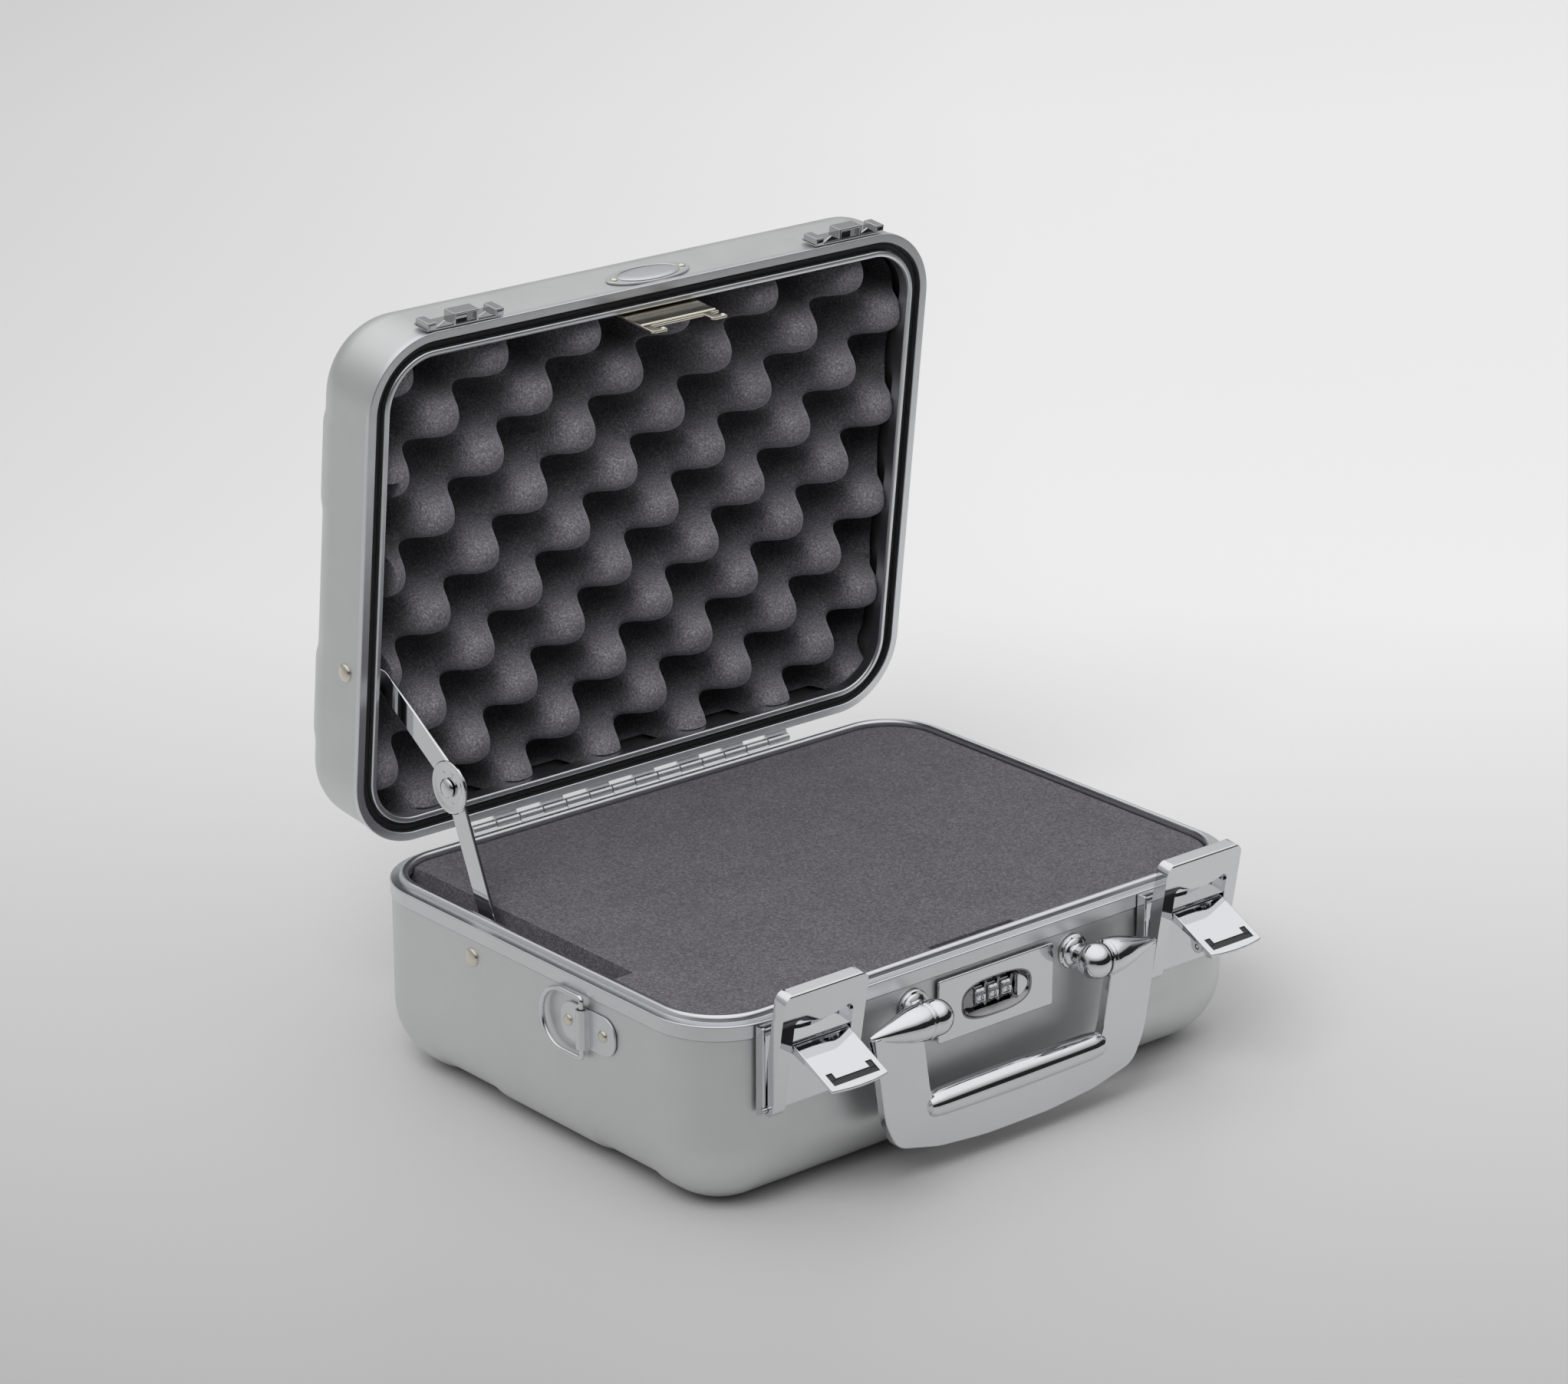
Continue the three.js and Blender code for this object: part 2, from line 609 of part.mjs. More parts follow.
function handle() {
  const grip = rod("x", 5.4, -57, 57, [HANDLE_Y, HANDLE_Z - GRIP_DROP - 1], 16);
  const body = join(handlePlate(), horn(-1), horn(1), grip);
  const sockets = [[-HANDLE_X, -70, -50], [HANDLE_X, 50, 70]].flatMap(([x, from, to]) => [
    ball(BALL_R + 0.4, x, HANDLE_Y, HANDLE_Z),
    rod("x", 3.4, from, to, [HANDLE_Y, HANDLE_Z], 12),
  ]);
  return cut(body, ...sockets);
}

piece(suitcase, "handle_post_left", handlePost(-1), CHROME);
piece(suitcase, "handle_post_right", handlePost(1), CHROME);
piece(suitcase, "handle", handle(), CHROME);

// ---- Combination lock ----
const DIAL_X = [-1, 0, 1].map((k) => k * DIAL_PITCH);
const DISH_FLOOR = -DEPTH / 2 + 1.6;

// Plate with a dished oval cup; the dials stand through slots in the cup's floor.
function lockPlate() {
  const plate = box([-LOCK_W / 2, LOCK_W / 2], [LOCK_Y - LOCK_T, LOCK_Y], rim(LOCK_Z));
  const cup = upright(oval(...DISH_HALF), [LOCK_Y - 1, DISH_FLOOR + 1.2], [0, DIAL_Z]);
  const inner = DISH_HALF.map((h) => h - 1.2);
  const hollow = upright(oval(...inner), [LOCK_Y - 5, DISH_FLOOR], [0, DIAL_Z]);
  const slots = DIAL_X.map((x) =>
    box([x - DIAL_T / 2 - 0.4, x + DIAL_T / 2 + 0.4], [-140, -130], [DIAL_Z - 7, DIAL_Z + 7]),
  );
  const slideSlot = box([13, 20], [-140, -130], [DIAL_Z - 1.3, DIAL_Z + 1.3]);
  return cut(join(plate, cup), hollow, ...slots, slideSlot);
}

// Housing behind the plate, open at the front, with a bore for the dial axle.
function lockBody() {
  const x = [-24, 24];
  const y = [-131.6, -122.9];
  const block = box(x, y, [DIAL_Z - 11.5, DIAL_Z + 11.5]);
  const hollow = box([x[0] + 8, x[1] - 1.5], [y[0] - 1, y[1] - 1.6], [DIAL_Z - 8, DIAL_Z + 8]);
  return cut(block, hollow, rod("x", AXLE_R + GAP, -20, 16, [DIAL_Y, DIAL_Z], 8));
}

function numberWheel(x) {
  const half = DIAL_T / 2;
  const wheel = rod("x", DIAL_R, x - half, x + half, [DIAL_Y, DIAL_Z], 20);
  return cut(wheel, rod("x", AXLE_R + GAP, x - 5, x + 5, [DIAL_Y, DIAL_Z], 8));
}

function lockSlide() {
  const button = box([15.6, 19.4], [LOCK_Y - 1.2, DISH_FLOOR - GAP], [DIAL_Z - 2.6, DIAL_Z + 2.6]);
  const stem = box([16.6, 18.4], [DISH_FLOOR - 1, -128], [DIAL_Z - 0.9, DIAL_Z + 0.9]);
  return join(button, stem);
}

// Keeper on the lid: a plate that hangs behind the front rim and ends in two hooks.
function lockKeeper() {
  const y = [-121.4, -119.9];
  const plate = box([-26, 22], y, rim([-17, 9]));
  const hooks = [-26, 12].map((x) =>
    join(box([x, x + 5], y, rim([-22, -16])), box([x, x + 10], y, rim([-24, -21]))),
  );
  return join(plate, ...hooks);
}

piece(suitcase, "lock_plate", lockPlate(), CHROME);
piece(suitcase, "lock_body", lockBody(), NICKEL);
piece(suitcase, "lock_axle", rod("x", AXLE_R, -15.6, 13, [DIAL_Y, DIAL_Z], 8), BRIGHT);
DIAL_X.forEach((x, i) => piece(suitcase, `number_wheel_${i + 1}`, numberWheel(x), CHROME));
piece(suitcase, "lock_slide", lockSlide(), CHROME);
piece(lid, "lock_keeper", lockKeeper(), NICKEL);

// ---- Badge on the lid's front wall: a blank oval held by two pins ----
const BADGE_Z = RIM + 13.5;
function badge() {
  const wall = -DEPTH / 2 + SHELL_INSET;
  const plate = upright(oval(25.5, 10), [wall - 1.4, wall - GAP], [0, BADGE_Z]);
  return cut(plate, ...holesY(1.2, [-138, -132], [[-21.5, BADGE_Z], [21.5, BADGE_Z]]));
}
piece(lid, "badge", badge(), BRIGHT);
[["left", -21.5], ["right", 21.5]].forEach(([name, x]) => {
  const wall = -DEPTH / 2 + SHELL_INSET;
  const pin = rod("y", 0.9, wall - 2, wall - GAP, [x, BADGE_Z], 8);
  const head = rod("y", 2, wall - 2.6, wall - 1.7, [x, BADGE_Z], 12);
  piece(lid, `badge_pin_${name}`, join(pin, head), BRIGHT);
});

// ---- Strap rings ----
const RING_X = -WIDTH / 2 + SHELL_INSET - 3.4;

// Plate with a folded channel round the ring's bar, drawn on the left wall.
function ringPlate() {
  const wall = -WIDTH / 2 + SHELL_INSET;
  const x = [wall - 1.5, wall - GAP];
  const middle = (RING_PLATE[0] + RING_PLATE[1]) / 2;
  const width = RING_PLATE[1] - RING_PLATE[0];
  const shape = roundedRect(width, 20, 9);
  const options = { depth: x[1] - x[0], bevelEnabled: false, curveSegments: 4 };
  const flat = new THREE.ExtrudeGeometry(shape, options).rotateX(Math.PI / 2).rotateZ(Math.PI / 2);
  flat.computeBoundingBox();
  const corner = flat.boundingBox.min;
  flat.translate(x[0] - corner.x, middle, RING_Z);
  const channel = rod("z", 3.1, RING_Z - 10.5, RING_Z + 10.5, [RING_X, RING_Y], 16);
  const bore = rod("z", RING_WIRE + 0.45, RING_Z - 12, RING_Z + 12, [RING_X, RING_Y], 12);
  const inWall = box([wall - GAP, wall + 5], [-80, -10], [RING_Z - 20, RING_Z + 20]);
  const holes = holesX(-1, 1.8, RING_RIVET_Y.map((y) => [y, RING_Z]));
  return cut(join(solid(flat), channel), bore, inWall, ...holes);
}

// A D of round wire: bar, two legs and a half circle, lying back along the wall.
function strapRing() {
  const end = RING_Y + RING_LEG;
  const torus = new THREE.TorusGeometry(RING_HALF, RING_WIRE, 8, 24);
  torus.rotateY(Math.PI / 2).translate(RING_X, end, RING_Z);
  const half = box([RING_X - 5, RING_X + 5], [end, end + 30], [RING_Z - 30, RING_Z + 30]);
  const legs = [-1, 1].flatMap((s) => [
    rod("y", RING_WIRE, RING_Y, end + 0.1, [RING_X, RING_Z + s * RING_HALF], 8),
    ball(RING_WIRE, RING_X, RING_Y, RING_Z + s * RING_HALF, 8),
  ]);
  const bar = rod("z", RING_WIRE, RING_Z - RING_HALF, RING_Z + RING_HALF, [RING_X, RING_Y], 8);
  return join(solid(torus).intersect(half), bar, ...legs);
}

function ringRivet(y) {
  const wall = -WIDTH / 2 + SHELL_INSET;
  const place = [y, RING_Z];
  return join(
    rod("x", 3, wall - 2.9, wall - 1.8, place, 10),
    rod("x", 1.5, wall - 2, wall + WALL + 1, place, 8),
    rod("x", 2.7, wall + WALL + GAP, wall + WALL + 1.1, place, 10),
  );
}

// Both sets are drawn on the left wall; the right one is mirrored.
[["left", 1], ["right", -1]].forEach(([name, side]) => {
  const add = (part, body, look) => {
    piece(suitcase, part, body, look).scale.x = side;
  };
  add(`ring_plate_${name}`, ringPlate(), CHROME);
  add(`strap_ring_${name}`, strapRing(), CHROME);
  add(`ring_rivet_${name}_back`, ringRivet(RING_RIVET_Y[0]), BRIGHT);
  add(`ring_rivet_${name}_front`, ringRivet(RING_RIVET_Y[1]), BRIGHT);
});

export default suitcase;
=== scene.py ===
# The looks of an open aluminium equipment case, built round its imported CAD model.
# Shapes are written in millimetres in the CAD frame, and made in metres.
import math

import bmesh
import bpy
import numpy as np
from mathutils import Matrix, Vector


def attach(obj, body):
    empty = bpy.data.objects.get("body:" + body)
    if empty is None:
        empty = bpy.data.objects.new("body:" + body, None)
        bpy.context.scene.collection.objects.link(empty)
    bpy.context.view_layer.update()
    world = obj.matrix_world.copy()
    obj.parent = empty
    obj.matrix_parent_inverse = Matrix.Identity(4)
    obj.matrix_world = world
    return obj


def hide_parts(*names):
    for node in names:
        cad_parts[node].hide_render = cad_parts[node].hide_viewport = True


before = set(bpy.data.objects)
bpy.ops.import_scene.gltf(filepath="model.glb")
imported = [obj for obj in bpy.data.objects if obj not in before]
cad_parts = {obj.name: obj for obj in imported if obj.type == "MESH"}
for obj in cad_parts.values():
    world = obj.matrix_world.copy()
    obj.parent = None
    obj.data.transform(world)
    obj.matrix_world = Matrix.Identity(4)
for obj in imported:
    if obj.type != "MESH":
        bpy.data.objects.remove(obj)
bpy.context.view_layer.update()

MM = 0.001

# ---- Sizes shared with the CAD model ----
W, D, RIM, LID = 356.0, 270.0, 100.0, 50.0
CORNER_R = 38.0
INSET, WALL = 0.8, 1.6
RIB_Y, RIB_W, RIB_H = 62.0, 46.0, 1.8
HINGE_Y, HINGE_Z = 140.0, 100.6
OPEN = math.radians(84)
LEVER_PIN = (-140.7, 58.0)
LEAN = math.radians(9)
TAB_PIN = (-142.3, 90.0)
TAB_OPEN = math.radians(73)
LATCH_X = 122.0
BALL_X, BALL_R = 52.0, 9.0  # the balls that the handle turns on
DIAL_PITCH, DIAL_R = 8.4, 5.8
KNUCKLES, KNUCKLE_PITCH = 14, 15.0


# ---- Mesh tools ----
def about_x(pivot, angle):
    """A turn about the X axis through (y, z), in millimetres."""
    to = Matrix.Translation((0, pivot[0], pivot[1]))
    return to @ Matrix.Rotation(angle, 4, "X") @ to.inverted()


LID_OPEN = about_x((HINGE_Y, HINGE_Z), -OPEN)
LEVER_OUT = about_x(LEVER_PIN, LEAN)
TAB_OUT = LEVER_OUT @ about_x(TAB_PIN, -TAB_OPEN)


def new_object(name, verts, faces):
    mesh = bpy.data.meshes.new(name)
    mesh.from_pydata([tuple(v) for v in verts], [], faces)
    mesh.validate()
    obj = bpy.data.objects.new(name, mesh)
    bpy.context.scene.collection.objects.link(obj)
    clean(obj)
    return obj


def clean(obj, weld=1e-3):
    """Welds the mesh and turns its faces outwards."""
    bm = bmesh.new()
    bm.from_mesh(obj.data)
    bmesh.ops.remove_doubles(bm, verts=bm.verts, dist=weld)
    bmesh.ops.dissolve_degenerate(bm, edges=bm.edges, dist=weld / 2)
    bmesh.ops.recalc_face_normals(bm, faces=bm.faces)
    bm.to_mesh(obj.data)
    bm.free()


def bake(obj):
    """Replaces the mesh by its modified one and drops the modifiers."""
    graph = bpy.context.evaluated_depsgraph_get()
    mesh = bpy.data.meshes.new_from_object(obj.evaluated_get(graph))
    obj.modifiers.clear()
    obj.data = mesh
    return obj


def triangulate(obj):
    bm = bmesh.new()
    bm.from_mesh(obj.data)
    bmesh.ops.triangulate(bm, faces=bm.faces, quad_method="BEAUTY", ngon_method="EAR_CLIP")
    bm.to_mesh(obj.data)
    bm.free()


def boolean(obj, kind, *others):
    for each in (obj, *others):
        triangulate(each)
    for other in others:
        mod = obj.modifiers.new("bool", "BOOLEAN")
        mod.object, mod.operation, mod.solver = other, kind, "MANIFOLD"
    bake(obj)
    triangulate(obj)
    for other in others:
        bpy.data.objects.remove(other)
    return obj


def cut(obj, *others):
    return boolean(obj, "DIFFERENCE", *others)


def weld(obj, *others):
    return boolean(obj, "UNION", *others)


def bevel(obj, width, segments=3, angle=30):
    bm = bmesh.new()
    bm.from_mesh(obj.data)
    bmesh.ops.dissolve_limit(bm, angle_limit=0.01, verts=bm.verts, edges=bm.edges)
    bm.to_mesh(obj.data)
    bm.free()
    mod = obj.modifiers.new("bevel", "BEVEL")
    mod.width, mod.segments, mod.limit_method = width, segments, "ANGLE"
    mod.angle_limit = math.radians(angle)
    mod.use_clamp_overlap = True
    return bake(obj)


def smooth(obj, angle=32):
    """Smooth shading, with edges sharper than the angle kept crisp."""
    bm = bmesh.new()
    bm.from_mesh(obj.data)
    limit = math.radians(angle)
    for face in bm.faces:
        face.smooth = True
    for edge in bm.edges:
        edge.smooth = not (edge.is_manifold and edge.calc_face_angle(0) > limit)
    bm.to_mesh(obj.data)
    bm.free()


def piece(obj, body, material, nodes=(), place=None, angle=32, weighted=True):
    """Finishes a piece: its place, shading, finish, body and the CAD nodes it stands for."""
    obj.data.transform(Matrix.Scale(MM, 4) @ (place or Matrix.Identity(4)))
    smooth(obj, angle)
    obj.data.materials.clear()
    obj.data.materials.append(material)
    if weighted:
        mod = obj.modifiers.new("normals", "WEIGHTED_NORMAL")
        mod.keep_sharp = True
    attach(obj, body)
    if nodes:
        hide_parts(*nodes)
    return obj


def box(name, x, y, z, edge=0.0, segments=3):
    xs, ys, zs = sorted(x), sorted(y), sorted(z)
    verts = [(a, b, c) for a in xs for b in ys for c in zs]
    faces = [(0, 1, 3, 2), (4, 6, 7, 5), (0, 4, 5, 1), (2, 3, 7, 6), (0, 2, 6, 4), (1, 5, 7, 3)]
    obj = new_object(name, verts, faces)
    return bevel(obj, edge, segments) if edge else obj


def lofted(name, rings, closed=False):
    """Closed rings of equal count joined in order; the two ends are capped, or joined if closed."""
    n = len(rings[0])
    verts = np.concatenate([np.asarray(r, float) for r in rings])
    faces = []
    for i in range(len(rings) - (0 if closed else 1)):
        a, b = i * n, ((i + 1) % len(rings)) * n
        faces += [(a + k, a + (k + 1) % n, b + (k + 1) % n, b + k) for k in range(n)]
    if not closed:
        faces.append(tuple(range(n))[::-1])
        faces.append(tuple(range(len(verts) - n, len(verts))))
    return new_object(name, verts, faces)


def revolved(name, profile, centre, axis="x", sides=48):
    """A profile of (along, radius) pairs turned about an axis through the centre."""
    rings = []
    for along, radius in profile:
        ring = []
        for k in range(sides):
            a = 2 * math.pi * k / sides
            u, v = max(radius, 1e-4) * math.cos(a), max(radius, 1e-4) * math.sin(a)
            local = {"x": (along, u, v), "y": (u, along, v), "z": (u, v, along)}[axis]
            ring.append([c + d for c, d in zip(centre, local)])
        rings.append(ring)
    return lofted(name, rings)


def dome(name, centre, axis, radius, height, base=0.0, sides=32):
    """A domed rivet head that rises along the axis from its base."""
    steps = 8
    profile = [(base - 0.3 * math.copysign(1, height), radius)]
    for k in range(steps + 1):
        a = math.pi / 2 * k / steps
        profile.append((base + height * math.sin(a), radius * math.cos(a)))
    return revolved(name, profile, centre, axis, sides)


def tube(name, path, radius, sides=16, closed=False):
    """A round wire along a path of points."""
    pts = np.asarray(path, float)
    rings = []
    normal = None
    for i, p in enumerate(pts):
        ahead = pts[(i + 1) % len(pts)] if closed or i + 1 < len(pts) else p
        behind = pts[i - 1] if closed or i > 0 else p
        t = Vector(ahead - behind).normalized()
        if normal is None:
            normal = t.orthogonal().normalized()
        normal = (normal - t * normal.dot(t)).normalized()
        side = t.cross(normal)
        angles = [2 * math.pi * k / sides for k in range(sides)]
        rings.append([Vector(p) + radius * (math.cos(a) * normal + math.sin(a) * side) for a in angles])
    return lofted(name, rings, closed)


def rounded(points, radii, steps=8):
    """A polygon with its corners rounded, as a list of (u, v)."""
    out = []
    count = len(points)
    for i, corner in enumerate(points):
        r = radii[i] if hasattr(radii, "__len__") else radii
        p = Vector(corner)
        a, b = Vector(points[i - 1]) - p, Vector(points[(i + 1) % count]) - p
        a.normalize(), b.normalize()
        if r <= 0:
            out.append(tuple(p))
            continue
        half = a.angle(b) / 2
        reach = r / math.tan(half)
        centre = p + (a + b).normalized() * (r / math.sin(half))
        start, end = p + a * reach - centre, p + b * reach - centre
        turn = math.atan2(start.x * end.y - start.y * end.x, start.dot(end))
        for k in range(steps + 1):
            w = turn * k / steps
            c, s = math.cos(w), math.sin(w)
            out.append((centre.x + start.x * c - start.y * s, centre.y + start.x * s + start.y * c))
    return out


def offset(outline, distance):
    """The outline moved inwards; it has to be rounded by more than the distance."""
    pts = np.asarray(outline, float)
    before, after = pts - np.roll(pts, 1, 0), np.roll(pts, -1, 0) - pts
    tangents = before / np.maximum(np.linalg.norm(before, axis=1), 1e-9)[:, None]
    tangents = tangents + after / np.maximum(np.linalg.norm(after, axis=1), 1e-9)[:, None]
    tangents /= np.maximum(np.linalg.norm(tangents, axis=1), 1e-9)[:, None]
    area = np.sum(pts[:, 0] * np.roll(pts[:, 1], -1) - np.roll(pts[:, 0], -1) * pts[:, 1])
    normals = np.stack([-tangents[:, 1], tangents[:, 0]], 1) * math.copysign(1, area)
    return pts + normals * distance


def plate(name, outline, low, high, frame_of, edge=0.4, segments=3):
    """A flat plate of an outline between two heights, its edges rounded.
    frame_of turns (u, v, height) into (x, y, z)."""
    rings = []
    for sign, level in ((1, low), (-1, high)):
        steps = range(segments + 1) if sign > 0 else range(segments, -1, -1)
        for k in steps:
            a = math.pi / 2 * k / segments
            inward = edge * (1 - math.sin(a))
            height = level + sign * edge * (1 - math.cos(a))
            rings.append([frame_of(u, v, height) for u, v in offset(outline, inward)])
    return lofted(name, rings)


def xz(u, v, h):
    return (u, h, v)


def yz(u, v, h):
    return (h, u, v)


def xy(u, v, h):
    return (u, v, h)


def rect(u0, u1, v0, v1, r=1.0, steps=6):
    return rounded([(u0, v0), (u1, v0), (u1, v1), (u0, v1)], r, steps)


def ellipse(a, b, cu=0.0, cv=0.0, n=64):
    turns = [2 * math.pi * k / n for k in range(n)]
    return [(cu + a * math.cos(t), cv + b * math.sin(t)) for t in turns]


# ---- Rings that follow the case outline ----
class Case:
    """Sweeps profiles of (inset, z) round the plan outline; flat ends are filled by a grid."""

    def __init__(self, xs, ys, arc=14):
        self.xs, self.ys, self.arc = list(xs), list(ys), arc

    def ring(self, inset, z):
        cx, cy, r = W / 2 - CORNER_R, D / 2 - CORNER_R, max(CORNER_R - inset, 0.0)
        pts = []

        def corner(x, y, start):
            for k in range(1, self.arc):
                a = start + math.pi / 2 * k / self.arc
                pts.append((x + r * math.cos(a), y + r * math.sin(a), z))

        pts += [(x, -cy - r, z) for x in self.xs]
        corner(cx, -cy, -math.pi / 2)
        pts += [(cx + r, y, z) for y in self.ys]
        corner(cx, cy, 0)
        pts += [(x, cy + r, z) for x in reversed(self.xs)]
        corner(-cx, cy, math.pi / 2)
        pts += [(-cx - r, y, z) for y in reversed(self.ys)]
        corner(-cx, -cy, math.pi)
        return pts

    def closed(self, name, profile):
        return lofted(name, [self.ring(i, z) for i, z in profile], closed=True)

    def block(self, name, profile, fills=("grid", "face"), shape=None):
        """A solid whose profile runs from one end's panel to the other end's."""
        rings = [np.array(self.ring(i, z), float) for i, z in profile]
        if shape:
            rings = [shape(r, i, k) for k, (r, (i, _)) in enumerate(zip(rings, profile))]
        n = len(rings[0])
        verts = [tuple(v) for r in rings for v in r]
        faces = []
        for i in range(len(rings) - 1):
            a, b = i * n, (i + 1) * n
            faces += [(a + k, a + (k + 1) % n, b + (k + 1) % n, b + k) for k in range(n)]
        for which, fill in zip((0, -1), fills):
            if fill == "face":
                first = 0 if which == 0 else (len(rings) - 1) * n
                faces.append(tuple(range(first, first + n)))
                continue
            inset, z = profile[which]
            at = {}
            grid = np.array([(x, y, z) for y in self.ys for x in self.xs], float)
            if shape:
                grid = shape(grid, inset, 0 if which == 0 else len(profile) - 1)
            start = len(verts)
            verts += [tuple(v) for v in grid]
            m = len(self.xs)
            for j in range(len(self.ys) - 1):
                for i in range(m - 1):
                    a = start + j * m + i
                    faces.append((a, a + 1, a + m + 1, a + m))
        return new_object(name, verts, faces)


def spread(low, high, step, extra=()):
    count = max(1, round((high - low) / step))
    values = set(round(low + (high - low) * k / count, 3) for k in range(count + 1))
    return sorted(values | set(extra))


def quarter(inset, z, radius, up, steps=14):
    """The rounded edge as profile points, from a wall at the inset to a panel at z."""
    points = []
    for k in range(steps + 1):
        a = math.pi / 2 * k / steps
        points.append((inset + radius * (1 - math.cos(a)), z + up * radius * (1 - math.sin(a))))
    return points


# ---- Materials ----
def nodes_of(name):
    mat = bpy.data.materials.new(name)
    mat.use_nodes = True
    tree = mat.node_tree
    return mat, tree, tree.nodes["Principled BSDF"]


def noise_node(tree, scale, detail=3, rough=0.5, stretch=None):
    coords = tree.nodes.new("ShaderNodeTexCoord")
    node = tree.nodes.new("ShaderNodeTexNoise")
    node.inputs["Scale"].default_value = scale
    node.inputs["Detail"].default_value = detail
    node.inputs["Roughness"].default_value = rough
    if stretch:
        mapping = tree.nodes.new("ShaderNodeMapping")
        mapping.inputs["Scale"].default_value = stretch
        tree.links.new(coords.outputs["Object"], mapping.inputs["Vector"])
        tree.links.new(mapping.outputs["Vector"], node.inputs["Vector"])
    else:
        tree.links.new(coords.outputs["Object"], node.inputs["Vector"])
    return node


def ramp(tree, source, stops):
    node = tree.nodes.new("ShaderNodeValToRGB")
    node.color_ramp.elements[0].position, node.color_ramp.elements[0].color = stops[0][0], stops[0][1]
    node.color_ramp.elements[1].position, node.color_ramp.elements[1].color = stops[1][0], stops[1][1]
    for position, colour in stops[2:]:
        node.color_ramp.elements.new(position).color = colour
    tree.links.new(source, node.inputs["Fac"])
    return node


def grey(v, a=1.0):
    return (v, v, v, a) if not hasattr(v, "__len__") else (*v, a)


def map_range(tree, source, low=0.0, high=1.0, start=0.0, end=1.0, kind="LINEAR"):
    """The source's range from low to high, mapped to start and end."""
    node = tree.nodes.new("ShaderNodeMapRange")
    node.interpolation_type = kind
    node.inputs["From Min"].default_value, node.inputs["From Max"].default_value = low, high
    node.inputs["To Min"].default_value, node.inputs["To Max"].default_value = start, end
    tree.links.new(source, node.inputs["Value"])
    return node.outputs["Result"]


def multiply(tree, first, second):
    """The product of two colours."""
    node = tree.nodes.new("ShaderNodeMix")
    node.data_type, node.blend_type = "RGBA", "MULTIPLY"
    node.inputs["Factor"].default_value = 1.0
    tree.links.new(first, node.inputs["A"])
    tree.links.new(second, node.inputs["B"])
    return node.outputs["Result"]


def along_direction(tree, coords, direction, low, high, stops):
    """A grey that changes along a direction, between two distances in metres."""
    dot = tree.nodes.new("ShaderNodeVectorMath")
    dot.operation = "DOT_PRODUCT"
    dot.inputs[1].default_value = direction
    tree.links.new(coords.outputs["Object"], dot.inputs[0])
    return ramp(tree, map_range(tree, dot.outputs["Value"], low, high), stops).outputs["Color"]


def bump(tree, height, strength, distance, after=None):
    node = tree.nodes.new("ShaderNodeBump")
    node.inputs["Strength"].default_value = strength
    node.inputs["Distance"].default_value = distance
    tree.links.new(height, node.inputs["Height"])
    if after:
        tree.links.new(after, node.inputs["Normal"])
    return node.outputs["Normal"]


def metal(name, colour, rough, vary=0.03, grain=0.02, grain_scale=2500, stretch=None, blotch=14):
    """Bare or plated metal: a base colour with slow variation, uneven gloss and a fine grain."""
    mat, tree, shader = nodes_of(name)
    shader.inputs["Metallic"].default_value = 1.0
    slow = noise_node(tree, blotch, 4, 0.55)
    dark = [c * (1 - vary) for c in colour]
    tone = ramp(tree, slow.outputs["Fac"], [(0.3, grey(dark)), (0.7, grey(colour))])
    tree.links.new(tone.outputs["Color"], shader.inputs["Base Color"])
    haze = noise_node(tree, blotch * 5, 5, 0.65)
    gloss = map_range(tree, haze.outputs["Fac"], start=rough * 0.75, end=rough * 1.3)
    tree.links.new(gloss, shader.inputs["Roughness"])
    if grain:
        fine = noise_node(tree, grain_scale, 2, 0.6, stretch)
        tree.links.new(bump(tree, fine.outputs["Fac"], grain, 0.0002), shader.inputs["Normal"])
    return mat


def foam(name, colour, light, cell, sheen, pit_shade=None):
    """Open-cell foam: a mottled dark skin of tiny cells, pale where cell walls catch the light.
    The last argument darkens it along a direction, as painted shade that deepens into the pits:
    (direction, start, end, grey at the end)."""
    mat, tree, shader = nodes_of(name)
    coords = tree.nodes.new("ShaderNodeTexCoord")
    cells = tree.nodes.new("ShaderNodeTexVoronoi")
    cells.inputs["Scale"].default_value = cell
    tree.links.new(coords.outputs["Object"], cells.inputs["Vector"])
    fine = noise_node(tree, cell * 0.6, 4, 0.75)
    slow = noise_node(tree, 30, 3, 0.5)
    mix = tree.nodes.new("ShaderNodeMix")
    mix.data_type = "FLOAT"
    mix.inputs["Factor"].default_value = 0.08
    tree.links.new(fine.outputs["Fac"], mix.inputs["A"])
    tree.links.new(slow.outputs["Fac"], mix.inputs["B"])
    tone = ramp(
        tree,
        mix.outputs["Result"],
        [(0.36, grey([c * 0.6 for c in colour])), (0.5, grey(colour)), (0.66, grey(light))],
    )
    foam_tone_and_pit_shade = tone.outputs["Color"]
    # painted shade: the colour is multiplied down along the direction, darker deeper in the pits
    if pit_shade:
        direction, start, end, low = pit_shade
        stops = [(0.0, grey(1.0)), (1.0, grey(low))]
        foam_tone_and_pit_shade = multiply(tree, foam_tone_and_pit_shade, along_direction(tree, coords, direction, start, end, stops))
    tree.links.new(foam_tone_and_pit_shade, shader.inputs["Base Color"])
    shader.inputs["Roughness"].default_value = 1.0
    shader.inputs["Specular IOR Level"].default_value = 0.15
    shader.inputs["Sheen Weight"].default_value = sheen
    shader.inputs["Sheen Roughness"].default_value = 0.3
    shader.inputs["Sheen Tint"].default_value = (0.85, 0.84, 0.9, 1)
    first = bump(tree, cells.outputs["Distance"], 0.5, 0.0004)
    tree.links.new(bump(tree, fine.outputs["Fac"], 0.6, 0.0005, first), shader.inputs["Normal"])
    return mat


